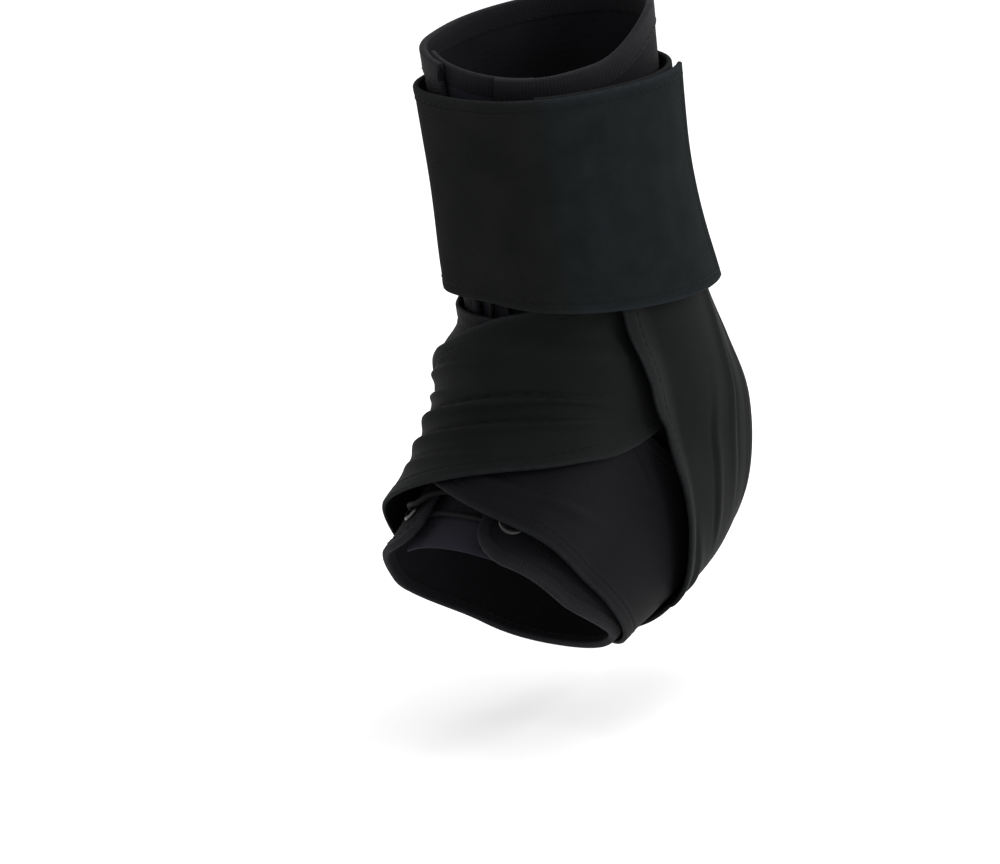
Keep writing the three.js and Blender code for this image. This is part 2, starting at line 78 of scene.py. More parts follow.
camera_data = bpy.data.cameras.new("camera")
camera_data.sensor_width = SENSOR_WIDTH
camera_data.lens = SENSOR_WIDTH * FOCAL_SHARE
camera_data.clip_start = 0.05
camera_data.clip_end = 20.0
camera = bpy.data.objects.new("camera", camera_data)
axes, back = camera_axes(CAMERA_AZIMUTH, CAMERA_ELEVATION, CAMERA_ROLL)
camera.matrix_world = Matrix.Translation(CAMERA_TARGET + back * CAMERA_DISTANCE) @ axes.to_4x4()
bpy.context.scene.collection.objects.link(camera)
bpy.context.scene.camera = camera
print("camera at", [round(x, 3) for x in camera.location])

# %% [markdown]
# ### The form that the sheets lie on
# Like a shoe on its last, every sheet lies on one form. The form is a row of oval sections, from
# the toe side over the heel to the calf. A place on it has two numbers: the station along the
# row, and the angle round it, 0 at the shin, 90 at the outer side and 180 at the sole or back.
# Arrays of places are worked out at once with NumPy, which keeps even fine sheets quick.

# %% Sizes of the form
BRACE_HEIGHT = 204 * MM
FOOT_REACH = 156 * MM
LEG_WIDTH = 80 * MM
FORM = {
    "front_y": (-0.628, -0.510, -0.410, -0.345, -0.302, -0.275, -0.262, -0.262, -0.270, -0.289),
    "front_z": (0.180, 0.248, 0.314, 0.375, 0.431, 0.480, 0.539, 0.647, 0.784, 1.000),
    "back_y": (-0.397, -0.192, 0.032, 0.225, 0.370, 0.390, 0.320, 0.238, 0.214, 0.215),
    "back_z": (-0.045, -0.010, 0.020, 0.065, 0.165, 0.280, 0.400, 0.549, 0.735, 1.030),
    "half_width": (0.48, 0.45, 0.42, 0.40, 0.39, 0.41, 0.41, 0.405, 0.415, 0.43),
    "flat": (0.25, 0.25, 0.25, 0.20, 0.10, 0, 0, 0, 0, 0),
}
FORM_SIZES = (FOOT_REACH, BRACE_HEIGHT, FOOT_REACH, BRACE_HEIGHT, LEG_WIDTH, 1.0)
FORM_ROWS = np.array(list(FORM.values())).T * FORM_SIZES
TOP_STATION = len(FORM_ROWS) - 1


def smooth_line(knots, place):
    """Smooth curve through knots; place counts knots from 0 and may be an array."""
    knots = np.asarray(knots, float)
    place = np.asarray(place, float)
    low = np.clip(np.floor(place).astype(int), 0, len(knots) - 2)
    t = (place - low)[..., None]
    ends = np.concatenate([2 * knots[:1] - knots[1:2], knots, 2 * knots[-1:] - knots[-2:-1]])
    a, b, c, d = (ends[low + k] for k in range(4))
    slope = c - a
    bend = 2 * a - 5 * b + 4 * c - d
    twist = 3 * b - a - 3 * c + d
    return b + t / 2 * (slope + t * (bend + t * twist))


def unit(vectors):
    return vectors / np.linalg.norm(vectors, axis=-1, keepdims=True)


def skin(station, angle):
    """Points of the form at stations and angles, in metres."""
    station, angle = np.broadcast_arrays(np.asarray(station, float), np.asarray(angle, float))
    rows = smooth_line(FORM_ROWS, np.clip(station, 0, TOP_STATION))
    front_y, front_z, back_y, back_z, half_width, flat = np.moveaxis(rows, -1, 0)
    side = np.sin(np.radians(angle))
    cosine = np.cos(np.radians(angle))
    depth = np.where(cosine < 0, cosine * (1 + flat * side**2), cosine)
    y = (front_y + back_y) / 2 + (front_y - back_y) / 2 * depth
    z = (front_z + back_z) / 2 + (front_z - back_z) / 2 * depth
    return np.stack([half_width * side, y, z], axis=-1)


PROBE = 0.02


def directions(station, angle):
    """On the form: along the stations, round the angle per degree, and straight out."""
    low = np.clip(np.asarray(station, float) - PROBE, 0, TOP_STATION)
    high = np.clip(np.asarray(station, float) + PROBE, 0, TOP_STATION)
    along = (skin(high, angle) - skin(low, angle)) / (high - low)[..., None]
    round_it = (skin(station, np.add(angle, 1)) - skin(station, np.subtract(angle, 1))) / 2
    return along, round_it, unit(np.cross(round_it, along))


def lifted(station, angle, lift):
    """Points at a height above the form."""
    out = directions(station, angle)[2]
    return skin(station, angle) + out * np.asarray(lift, float)[..., None]


def rise(value, start, end):
    """0 below start, 1 above end, smooth between."""
    share = np.clip((np.asarray(value, float) - start) / (end - start), 0, 1)
    return share * share * (3 - 2 * share)


def mix(a, b, share):
    return a + (b - a) * share


COLLAR_DIP = 10 * MM
SCOOP_START = (-60, 50)
SCOOP_END = (68, 125)


def collar_edge(angle):
    """Station of the collar's edge: scooped at the outer front."""
    signed = np.mod(np.add(angle, 180), 360) - 180
    scoop = rise(signed, *SCOOP_START) * (1 - rise(signed, *SCOOP_END))
    last = skin(TOP_STATION, angle) - skin(TOP_STATION - 1, angle)
    return TOP_STATION - COLLAR_DIP * scoop / np.linalg.norm(last, axis=-1)


print("form:", len(FORM_ROWS), "sections, top at", round(float(skin(9, 180)[2]), 4))

# %% [markdown]
# ### Heights of the layers
# The layers of a strapped brace lie on each other with a little air between: tongue, lace,
# flaps, inner strap, outer strap and cuff. Each height is worked out from the walls below it,
# as in the part's own source, so that the plain sheets clear each other. Folds and rolls that
# are added later have only the air between two layers to rise into.

# %% Heights of the layers
BODY_WALL = 2.0 * MM
TONGUE_WALL = 2.0 * MM
STRAP_WALL = 1.2 * MM
CUFF_WALL = 1.6 * MM
LACE_THICKNESS = 2.0 * MM
SKIN_GAP = 0.4 * MM
LAYER_GAP = 0.5 * MM
STRAP_GAP = 1.3 * MM
SEAT_GAP = 0.45 * MM
LACE_GAP = 0.8 * MM
EYELET_PLATE = 0.7 * MM
EYELET_STATIONS = (1.2, 2.0, 2.95, 4.1, 5.4)
EYELET_ANGLE = 30
LACING_GAP_ANGLE = 17

TONGUE_TOP = SKIN_GAP + TONGUE_WALL
LACE_UNDER = TONGUE_TOP + SEAT_GAP + LACE_THICKNESS / 2
FLAP_UNDER = LACE_UNDER + LACE_THICKNESS / 2 + LAYER_GAP
FLAP_TOP = FLAP_UNDER + BODY_WALL
EYELET_TOP = FLAP_TOP + SEAT_GAP + EYELET_PLATE
LACE_OVER = EYELET_TOP + LACE_GAP + LACE_THICKNESS / 2
LACE_TOP = LACE_OVER + LACE_THICKNESS / 2
LAYER_PITCH = STRAP_WALL + STRAP_GAP
LACING_END = EYELET_STATIONS[-1] + 0.3
LACING_CLEAR = LACING_END + 0.6
RIDGE_ANGLES = (38, 78)


def from_shin(angle):
    """Angle away from the shin, 0 to 180."""
    turned = np.mod(angle, 360)
    return np.minimum(turned, 360 - turned)


def ridge(station, angle):
    """How far the flaps stand up at the front, and how far up the lacing goes."""
    return 1 - rise(from_shin(angle), *RIDGE_ANGLES), 1 - rise(station, LACING_END, LACING_CLEAR)


def body_under(station, angle):
    front, laced = ridge(station, angle)
    return mix(SKIN_GAP, mix(TONGUE_TOP + LAYER_GAP, FLAP_UNDER, laced), front)


def strap_seat(station, angle):
    """Surface that the first strap lies on: the body, raised over the lace."""
    front, laced = ridge(station, angle)
    top = body_under(station, angle) + BODY_WALL
    return top + STRAP_GAP + (LACE_TOP - FLAP_TOP) * front * laced


print("laced front stands", round(FLAP_TOP / MM, 2), "mm off the form")
print("lace reaches", round(LACE_TOP / MM, 2), "mm off the form")

# %% [markdown]
# ### Colour and nodes
# Shader colours are linear, while a colour that one reads off a sample card is sRGB. One
# function turns a hex value to linear. A second one adds a node with its settings and links,
# and every material is built with it alone.

# %% Colour and node helpers


def linear(hex_value):
    """sRGB hex, such as '#1b1b1e', to a linear colour with alpha."""
    parts = [int(hex_value[k : k + 2], 16) / 255 for k in (1, 3, 5)]
    turned = [p / 12.92 if p <= 0.04045 else ((p + 0.055) / 1.055) ** 2.4 for p in parts]
    return (*turned, 1.0)


def add(tree, kind, inputs=None, **settings):
    """A new node with its settings, and its inputs set to values or linked to sockets."""
    node = tree.nodes.new(kind)
    for name, value in settings.items():
        setattr(node, name, value)
    coloured = getattr(node, "data_type", "") == "RGBA"
    for name, value in (inputs or {}).items():
        socket = node.inputs[name]
        if coloured and name in ("A", "B"):
            socket = next(s for s in node.inputs if s.name == name and s.type == "RGBA")
        if isinstance(value, bpy.types.NodeSocket):
            tree.links.new(value, socket)
        else:
            socket.default_value = value
    return node


def new_material(name, **sockets):
    """A material with one principled shader, whose sockets are set here."""
    material = bpy.data.materials.new(name)
    material.use_nodes = True
    shader = material.node_tree.nodes["Principled BSDF"]
    for socket, value in sockets.items():
        shader.inputs[socket.replace("_", " ").title().replace("Ior", "IOR")].default_value = value
    return material, material.node_tree, shader


# %% [markdown]
# ### Black cloths
# All the cloth is dyed nylon and polyester. What the eye tells apart is the surface: the body
# is a laminated nylon with a fine plain weave, the straps are a smooth twill with a faint
# sheen, the cuff is a brushed loop knit that looks like short felt, and the tapes are ribbed.
# The inner strap shares the outer one's weave but is painted darker and a little bluer: partly its own
# bluish tint, partly painted shade for the dark gap beside the outer strap's rolled edge.
# Each one mixes two near blacks by a soft noise, lightens where an edge rubs, and has its
# weave as bump. Real threads are about 0.3 mm apart, which is finer than a pixel here, so each
# pattern is drawn about three times as coarse.

# %% Shared cloth nodes
THREAD_PLAIN = 0.9  # mm between the threads of the plain weave as drawn, 0.3 on the real one
THREAD_TWILL = 1.0
RIB_TAPE = 1.1
LOOP_SIZE = 1.1


def cloth_colour(tree, dark, light, rubbed, patch_mm):
    """Two near blacks in soft patches, and a rubbed tone where the piece's wear says so."""
    place = add(tree, "ShaderNodeTexCoord")
    patches = add(
        tree,
        "ShaderNodeTexNoise",
        {"Vector": place.outputs["Object"], "Scale": 1000 / patch_mm, "Detail": 3.0},
    )
    base = add(
        tree,
        "ShaderNodeMix",
        {"Factor": patches.outputs["Fac"], "A": linear(dark), "B": linear(light)},
        data_type="RGBA",
    )
    wear = add(tree, "ShaderNodeAttribute", attribute_name="wear")
    fine = add(
        tree,
        "ShaderNodeTexNoise",
        {"Vector": place.outputs["Object"], "Scale": 1000 / 2.5, "Detail": 4.0},
    )
    amount = add(
        tree,
        "ShaderNodeMath",
        {0: wear.outputs["Fac"], 1: fine.outputs["Fac"]},
        operation="MULTIPLY",
    )
    return add(
        tree,
        "ShaderNodeMix",
        {"Factor": amount.outputs["Value"], "A": colour_of(base), "B": linear(rubbed)},
        data_type="RGBA",
    )


def colour_of(mix_node):
    """The colour output of a mix node that mixes colours."""
    return next(s for s in mix_node.outputs if s.type == "RGBA")


def threads(tree, spacing_mm, angle_deg, profile="SIN"):
    """Bands across the sheet's own UV map, which is in millimetres."""
    uv = add(tree, "ShaderNodeUVMap", uv_map="cloth_mm")
    turn = add(
        tree,
        "ShaderNodeMapping",
        {"Vector": uv.outputs["UV"], "Rotation": (0, 0, math.radians(angle_deg))},
    )
    # one period of the node's band texture is 1/10 of a turn of 2 pi at scale 1
    return add(
        tree,
        "ShaderNodeTexWave",
        {"Vector": turn.outputs["Vector"], "Scale": math.pi / 10 / spacing_mm},
        wave_type="BANDS",
        bands_direction="X",
        wave_profile=profile,
    )


def combine(tree, a, b, operation="MAXIMUM"):
    return add(tree, "ShaderNodeMath", {0: a, 1: b}, operation=operation).outputs["Value"]


def bump(tree, shader, height, depth_mm, strength):
    node = add(
        tree,
        "ShaderNodeBump",
        {"Height": height, "Distance": depth_mm * MM, "Strength": strength},
    )
    tree.links.new(node.outputs["Normal"], shader.inputs["Normal"])


# %% Body: laminated nylon in a fine plain weave


def laminated_nylon():
    """Coated nylon: dull, near black, the threads just show."""
    material, tree, shader = new_material(
        "laminated_nylon", roughness=0.78, ior=1.50, specular_ior_level=0.045, sheen_weight=0.005
    )
    shader.inputs["Sheen Roughness"].default_value = 0.5
    colour = cloth_colour(tree, "#09090b", "#131215", "#1b1b1e", patch_mm=16)
    tree.links.new(colour_of(colour), shader.inputs["Base Color"])
    warp = threads(tree, THREAD_PLAIN, 0)
    weft = threads(tree, THREAD_PLAIN, 90)
    height = combine(tree, warp.outputs["Fac"], weft.outputs["Fac"])
    bump(tree, shader, height, depth_mm=0.12, strength=0.5)
    return material


# %% Straps: smooth polyester twill


def strap_twill(name, dark, light):
    """Smooth woven strap cloth: slanting ribs and a faint sheen along them."""
    material, tree, shader = new_material(
        name, roughness=0.70, ior=1.50, specular_ior_level=0.05, sheen_weight=0.005
    )
    shader.inputs["Sheen Roughness"].default_value = 0.45
    colour = cloth_colour(tree, dark, light, "#191a1c", patch_mm=20)
    tree.links.new(colour_of(colour), shader.inputs["Base Color"])
    twill = threads(tree, THREAD_TWILL, 62)
    weft = threads(tree, THREAD_TWILL * 0.8, 0)
    height = combine(tree, twill.outputs["Fac"], weft.outputs["Fac"], "MULTIPLY")
    bump(tree, shader, height, depth_mm=0.10, strength=0.4)
    return material


# %% Cuff: brushed loop knit


def brushed_loop():
    """Loop knit that hooks hold on to: short fuzz, no gloss, and a bluer facing at one end."""
    material, tree, shader = new_material(
        "brushed_loop", roughness=0.95, ior=1.50, specular_ior_level=0.02, sheen_weight=0.007
    )
    shader.inputs["Sheen Roughness"].default_value = 0.6
    ground = cloth_colour(tree, "#0b0c0c", "#161716", "#1b1c1d", patch_mm=16)
    faced = cloth_colour(tree, "#0c0f10", "#171a1b", "#1f2226", patch_mm=9)
    patch = add(tree, "ShaderNodeAttribute", attribute_name="patch")
    colour = add(
        tree,
        "ShaderNodeMix",
        {"Factor": patch.outputs["Fac"], "A": colour_of(ground), "B": colour_of(faced)},
        data_type="RGBA",
    )
    tree.links.new(colour_of(colour), shader.inputs["Base Color"])
    place = add(tree, "ShaderNodeTexCoord")
    loops = add(
        tree,
        "ShaderNodeTexNoise",
        {
            "Vector": place.outputs["Object"],
            "Scale": 1000 / LOOP_SIZE,
            "Detail": 6.0,
            "Roughness": 0.65,
        },
    )
    courses = threads(tree, 1.6, 90)
    height = combine(tree, loops.outputs["Fac"], courses.outputs["Fac"], "MULTIPLY")
    bump(tree, shader, height, depth_mm=0.22, strength=0.55)
    return material


# %% Tape: ribbed binding


def ribbed_tape():
    """Grosgrain tape folded over the cloth's edges: close ribs across its length."""
    material, tree, shader = new_material(
        "ribbed_tape", roughness=0.7, ior=1.50, specular_ior_level=0.06, sheen_weight=0.005
    )
    shader.inputs["Sheen Roughness"].default_value = 0.5
    colour = cloth_colour(tree, "#0b0a0d", "#111013", "#1e1d21", patch_mm=18)
    tree.links.new(colour_of(colour), shader.inputs["Base Color"])
    ribs = threads(tree, RIB_TAPE, 0)
    bump(tree, shader, ribs.outputs["Fac"], depth_mm=0.16, strength=0.6)
    return material


# %% Tongue: padded knit


def padded_knit():
    """Soft knit over thin foam: dull, with small round stitches."""
    material, tree, shader = new_material(
        "padded_knit", roughness=0.9, ior=1.50, specular_ior_level=0.07, sheen_weight=0.015
    )
    shader.inputs["Sheen Roughness"].default_value = 0.55
    colour = cloth_colour(tree, "#15141a", "#1f1d24", "#28262e", patch_mm=16)
    tree.links.new(colour_of(colour), shader.inputs["Base Color"])
    place = add(tree, "ShaderNodeTexCoord")
    knit = add(
        tree,
        "ShaderNodeTexVoronoi",
        {"Vector": place.outputs["Object"], "Scale": 1000 / 1.2, "Randomness": 0.45},
    )
    bump(tree, shader, knit.outputs["Distance"], depth_mm=0.15, strength=0.5)
    return material


# %% Lace, thread and eyelets


def braided_lace():
    """Round braid of polyester: two sets of yarns cross round the cord."""
    material, tree, shader = new_material(
        "braided_lace", roughness=0.6, ior=1.50, specular_ior_level=0.08, sheen_weight=0.005
    )
    colour = cloth_colour(tree, "#08080a", "#0e0e10", "#1a1a1c", patch_mm=8)
    tree.links.new(colour_of(colour), shader.inputs["Base Color"])
    left = threads(tree, 0.9, 45)
    right = threads(tree, 0.9, -45)
    height = combine(tree, left.outputs["Fac"], right.outputs["Fac"])
    bump(tree, shader, height, depth_mm=0.2, strength=0.8)
    return material


def spun_thread():
    """Sewing thread: a touch glossier than the cloth that it holds."""
    material, tree, shader = new_material(
        "spun_thread", roughness=0.6, ior=1.50, specular_ior_level=0.07
    )
    place = add(tree, "ShaderNodeTexCoord")
    fibres = add(
        tree,
        "ShaderNodeTexNoise",
        {"Vector": place.outputs["Object"], "Scale": 1000 / 1.5, "Detail": 2.0},
    )
    tone = add(
        tree,
        "ShaderNodeMix",
        {"Factor": fibres.outputs["Fac"], "A": linear("#0b0b0c"), "B": linear("#121214")},
        data_type="RGBA",
    )
    tree.links.new(colour_of(tone), shader.inputs["Base Color"])
    return material


def lacquered_brass():
    """Brass eyelet under black baked lacquer: smooth, so its lip takes a thin glint."""
    material, tree, shader = new_material(
        "lacquered_brass", roughness=0.28, ior=1.52, specular_ior_level=0.3, coat_weight=0.15
    )
    shader.inputs["Coat Roughness"].default_value = 0.08
    place = add(tree, "ShaderNodeTexCoord")
    specks = add(
        tree,
        "ShaderNodeTexNoise",
        {"Vector": place.outputs["Object"], "Scale": 1000 / 2.0, "Detail": 5.0},
    )
    tone = add(
        tree,
        "ShaderNodeMix",
        {"Factor": specks.outputs["Fac"], "A": linear("#0c0c0d"), "B": linear("#1a1a1c")},
        data_type="RGBA",
    )
    tree.links.new(colour_of(tone), shader.inputs["Base Color"])
    return material


NYLON = laminated_nylon()
OUTER_TWILL = strap_twill("strap_twill", "#070808", "#0f1010")
# inner strap: own bluish tint, darkened as painted shade of the outer strap's rolled edge
INNER_TWILL_BLUE_AND_SHADE = strap_twill("strap_twill_bluish_and_shaded", "#060608", "#0b0b0e")
LOOP = brushed_loop()
TAPE = ribbed_tape()
KNIT = padded_knit()
BRAID = braided_lace()
THREAD = spun_thread()
LACQUER = lacquered_brass()
print("materials:", len(bpy.data.materials))

# %% [markdown]
# ### Making a sheet
# A sheet of cloth is two grids of points, its upper and its lower face, joined round the rim.
# The rim is rounded, because cut cloth that is turned under has no sharp corner. The grid is
# closer near the edges, where the hems are, and its real length in millimetres goes into a UV
# map for the weave. An attribute named wear is 1 at the edge and fades to 0 inside.

# %% Sheets from grids


def edge_stops(length, coarse, fine):
    """Places from 0 to length in mm: the fine distances near both ends, coarse steps between."""
    near = np.array(fine)
    far = length - near[::-1]
    count = max(2, int(round((far[0] - near[-1]) / coarse)))
    return np.concatenate([near, np.linspace(near[-1], far[0], count + 1)[1:-1], far])


FINE = (0, 0.2, 0.5, 0.9, 1.5, 2.3, 3.1, 3.7, 4.1, 4.5, 4.9, 5.5, 6.3, 7.3, 8.6, 10.2)


def rounding(distance, wall):
    """Share of the wall at a distance from the rim, so that the rim is round."""
    share = np.clip(distance / (wall / 2), 0, 1)
    return 0.35 + 0.65 * np.sqrt(1 - (1 - share) ** 2)


def hem(distance, width, lift, groove):
    """Extra height in mm of a turned edge: a doubled band with a sewn groove inside it."""
    band = 1 - rise(distance, width - 0.5, width + 0.7)
    sewn = np.exp(-(((distance - (width - 1.1)) / 0.45) ** 2))
    return lift * band - groove * sewn


def link(name, vertices, faces, material, smooth_angle=50):
    """A new mesh object from vertices and faces, shaded smooth with sharp edges past an angle."""
    mesh = bpy.data.meshes.new(name)
    mesh.from_pydata(vertices, [], faces)
    mesh.materials.append(material)
    piece = bpy.data.objects.new(name, mesh)
    bpy.context.scene.collection.objects.link(piece)
    mesh.polygons.foreach_set("use_smooth", np.ones(len(mesh.polygons), bool))
    mesh.set_sharp_from_angle(angle=math.radians(smooth_angle))
    return piece


def outwards(piece):
    """Turns all faces of a closed mesh to the outside."""
    bm = bmesh.new()
    bm.from_mesh(piece.data)
    bmesh.ops.recalc_face_normals(bm, faces=bm.faces)
    bm.to_mesh(piece.data)
    bm.free()


def lay_flat(mesh, flat_mm, wear):
    """Gives the mesh its flat cloth places in mm as a UV map, and its wear at each point."""
    corners = np.zeros(len(mesh.loops), int)
    mesh.loops.foreach_get("vertex_index", corners)
    uv = mesh.uv_layers.new(name="cloth_mm")
    uv.data.foreach_set("uv", flat_mm[corners].astype(np.float32).ravel())
    worn = mesh.attributes.new("wear", "FLOAT", "POINT")
    worn.data.foreach_set("value", wear.astype(np.float32))


def grid_faces(rows, columns, start, flip):
    """Quads of a grid of vertices that begins at a number."""
    row, column = np.mgrid[0 : rows - 1, 0 : columns - 1]
    corner = start + row * columns + column
    quads = np.stack([corner, corner + 1, corner + columns + 1, corner + columns], -1)
    quads = quads.reshape(-1, 4)
    return quads[:, ::-1] if flip else quads


def volume_of(points, faces):
    """Signed volume inside a closed mesh of quads."""
    a, b, c, d = (points[faces[:, k]] for k in range(4))
    return float((a * np.cross(b, c)).sum() + (a * np.cross(c, d)).sum()) / 6


def sheet_piece(name, over, under, along_mm, across_mm, wear, material):
    """A closed sheet from its upper and lower grids, rows along and columns across."""
    rows, columns = over.shape[:2]
    points = np.concatenate([over.reshape(-1, 3), under.reshape(-1, 3)])
    size = rows * columns
    faces = [grid_faces(rows, columns, 0, False), grid_faces(rows, columns, size, True)]
    ring = np.concatenate([
        np.arange(columns),
        np.arange(1, rows) * columns + columns - 1,
        (rows - 1) * columns + np.arange(columns - 2, -1, -1),
        np.arange(rows - 2, -1, -1) * columns,
    ])
    first, second = ring[:-1], ring[1:]
    faces.append(np.stack([second, first, first + size, second + size], -1))
    faces = np.concatenate(faces)
    if volume_of(points, faces) < 0:
        faces = faces[:, ::-1]
    piece = link(name, points.tolist(), faces.tolist(), material)
    flat = np.stack([np.tile(along_mm.ravel(), 2), np.tile(across_mm.ravel(), 2)], -1)
    lay_flat(piece.data, flat, np.tile(wear.ravel(), 2))
    print(f"{name}: {len(piece.data.polygons)} faces")
    return piece


def edge_wear(distance):
    """How rubbed the cloth is at a distance in mm from its edge."""
    return np.exp(-((distance / 1.2) ** 2))


# %% [markdown]
# ### Stitches and tapes
# A seam is a row of short stitches that sink into the cloth at both ends. Each is a small
# spindle, laid along the seam and pressed a third into the surface. A binding tape is folded
# over an edge: its section is a U, swept along the edge.

# %% Stitches
STITCH_LENGTH = 2.6 * MM
STITCH_GAP = 0.9 * MM
STITCH_RADIUS = 0.21 * MM
SPINDLE = ((0.0, 0.25), (0.15, 0.85), (0.5, 1.0), (0.85, 0.85), (1.0, 0.25))


def spaced(path, step):
    """Points and directions at even steps along a path of points."""
    lengths = np.linalg.norm(np.diff(path, axis=0), axis=1)
    travel = np.concatenate([[0], np.cumsum(lengths)])
    stops = np.arange(step / 2, travel[-1] - step / 2, step)
    return np.stack([np.interp(stops, travel, path[:, k]) for k in range(3)], -1), stops, travel


def stitches(name, seams):
    """One mesh of stitches along seams, each a pair of points and outward directions."""
    vertices, faces = [], []
    sides = 6
    ring = np.radians(np.arange(sides) * 360 / sides)
    for path, outward in seams:
        middle, stops, travel = spaced(path, STITCH_LENGTH + STITCH_GAP)
        ahead = np.stack([np.interp(stops + STITCH_LENGTH / 2, travel, path[:, k]) for k in range(3)], -1)
        behind = np.stack([np.interp(stops - STITCH_LENGTH / 2, travel, path[:, k]) for k in range(3)], -1)
        out = unit(np.stack([np.interp(stops, travel, outward[:, k]) for k in range(3)], -1))
        for start, end, up in zip(behind, ahead, out):
            forward = (end - start) / np.linalg.norm(end - start)
            side = np.cross(forward, up)
            first = len(vertices)
            for share, width in SPINDLE:
                lift = (4 * share * (1 - share) * 0.7 - 0.3) * STITCH_RADIUS
                centre = mix(start, end, share) + up * lift
                for turn in ring:
                    offset = side * math.cos(turn) + up * math.sin(turn)
                    vertices.append(centre + offset * width * STITCH_RADIUS)
            for level in range(len(SPINDLE) - 1):
                for k in range(sides):
                    a = first + level * sides + k
                    b = first + level * sides + (k + 1) % sides
                    faces.append((a, b, b + sides, a + sides))
            faces.append(tuple(first + k for k in range(sides))[::-1])
            faces.append(tuple(first + (len(SPINDLE) - 1) * sides + k for k in range(sides)))
    piece = link(name, vertices, faces, THREAD)
    outwards(piece)
    print(f"{name}: {len(piece.data.polygons)} faces")
    return piece


# %% Tapes folded over an edge
TAPE_WALL = 0.5 * MM


def tape_section(leg, half, nose, wall, core):
    """U-shaped outline of a folded tape: x runs from the fold into the cloth, y is across it.

    The fold is solid as far as core, where the cloth's edge begins.
    """
    outer = [(leg, half), (leg * 0.5, half), (nose, half)]
    bends = np.radians(np.linspace(75, -75, 7))
    outer += [(nose - nose * math.cos(t), half * math.sin(t)) for t in bends]
    outer += [(nose, -half), (leg * 0.5, -half), (leg, -half)]
    inner_half = half - wall
    depth = max(wall, core)
    inner = [(leg, -inner_half), ((leg + depth) / 2, -inner_half), (depth + wall, -inner_half)]
    inner += [(depth, -inner_half * 0.5), (depth, inner_half * 0.5)]
    inner += [(depth + wall, inner_half), ((leg + depth) / 2, inner_half), (leg, inner_half)]
    return np.array(outer + inner)


def tape_piece(name, edge, inward, outward, section, closed=False):
    """A folded tape along an edge, from its points and its inward and outward directions."""
    rows = len(edge)
    count = len(section)
    grid = (
        edge[:, None, :]
        + inward[:, None, :] * section[None, :, :1]
        + outward[:, None, :] * section[None, :, 1:]
    )
    faces = []
    for row in range(rows if closed else rows - 1):
        for k in range(count):
            a = row * count + k
            b = row * count + (k + 1) % count
            after = ((row + 1) % rows) * count
            faces.append((a, b, after + (k + 1) % count, after + k))
    if not closed:
        half = count // 2
        for first, flip in ((0, False), ((rows - 1) * count, True)):
            for k in range(half - 1):
                quad = (first + k, first + k + 1, first + count - 2 - k, first + count - 1 - k)
                faces.append(quad[::-1] if flip else quad)
    piece = link(name, grid.reshape(-1, 3).tolist(), faces, TAPE, smooth_angle=60)
    outwards(piece)
    mesh = piece.data
    travel = np.concatenate([[0], np.cumsum(np.linalg.norm(np.diff(edge, axis=0), axis=1))]) / MM
    girth = np.concatenate([[0], np.cumsum(np.linalg.norm(np.diff(section, axis=0), axis=1))]) / MM
    flat = np.stack(np.broadcast_arrays(travel[:, None], girth[None, :]), -1).reshape(-1, 2)
    fold = np.exp(-((section[:, 0] / (1.0 * MM)) ** 2))
    lay_flat(mesh, flat, np.tile(fold, rows))
    print(f"{name}: {len(mesh.polygons)} faces")
    return piece


# %% [markdown]
# ### Body
# The body is one panel of laminated nylon that goes round the form from flap to flap. It is
# cut open at the heel and has ten holes for the eyelets. The panel is laid as a fine sheet and
# the holes are cut with a boolean, because a hole has to go through a curved wall cleanly.

# %% Body panel
TOE_EDGE_FRONT = 0.78
TOE_EDGE_SOLE = 0.85
TOE_EDGE_REACH = 0.25
TOE_REACH_START = (12, 36)
TOE_REACH_END = (72, 132)
HEEL_HOLE = (40 * MM, 50 * MM)
HEEL_STATION = 4.5
BARREL_RADIUS = (5.1 / 2 + 0.6) * MM


def toe_edge(angle):
    """Station of the toe edge, which reaches forward between the flap's corner and the sole."""
    turned = from_shin(angle)
    back = rise(turned, *TOE_REACH_END)
    reach = rise(turned, *TOE_REACH_START) * (1 - back)
    return mix(TOE_EDGE_FRONT, TOE_EDGE_SOLE, back) - TOE_EDGE_REACH * reach


CORNER_MM = 6.0
STATION_MM = BRACE_HEIGHT / TOP_STATION / MM
ANGLE_MM = math.pi * LEG_WIDTH / 360 / MM
BODY_WIDTH_MM = (360 - 2 * LACING_GAP_ANGLE) * ANGLE_MM


def round_corner(from_side, from_end):
    """Moves places near a square corner so that it is round; both are distances in mm."""
    side = np.maximum(CORNER_MM - from_side, 0)
    end = np.maximum(CORNER_MM - from_end, 0)
    share = np.maximum(side, end) / np.maximum(np.hypot(side, end), 1e-9)
    share = np.where(np.minimum(side, end) > 0, share, 1.0)
    return from_side + side * (1 - share), from_end + end * (1 - share)


def body_panel():
    across = np.linspace(0, 1, 170)[None, :]
    up = np.linspace(0, 1, 130)[:, None]
    angle = mix(LACING_GAP_ANGLE, 360 - LACING_GAP_ANGLE, across)
    from_end = (collar_edge(angle) - toe_edge(angle)) * up * STATION_MM
    hand = np.where(across < 0.5, 1, -1)
    from_side = np.minimum(across, 1 - across) * BODY_WIDTH_MM + 0 * up
    side, end = round_corner(from_side, from_end)
    angle = angle + hand * (side - from_side) / ANGLE_MM
    station = toe_edge(angle) + end / STATION_MM
    under = body_under(station, angle)
    top = under + BODY_WALL
    return sheet_piece(
        "body_panel",
        lifted(station, angle, top),
        lifted(station, angle, under),
        station * STATION_MM,
        angle * ANGLE_MM,
        np.zeros(station.shape),
        NYLON,
    )


def prism(name, outline, centre, axis, side, length):
    """A closed bar with an outline of (x, y) points, along an axis through a centre."""
    up = np.cross(axis, side)
    vertices = []
    for end in (-length / 2, length / 2):
        for x, y in outline:
            vertices.append(centre + side * x + up * y + axis * end)
    count = len(outline)
    faces = [(k, (k + 1) % count, count + (k + 1) % count, count + k) for k in range(count)]
    faces.append(tuple(range(count))[::-1])
    faces.append(tuple(range(count, 2 * count)))
    return link(name, vertices, faces, NYLON)


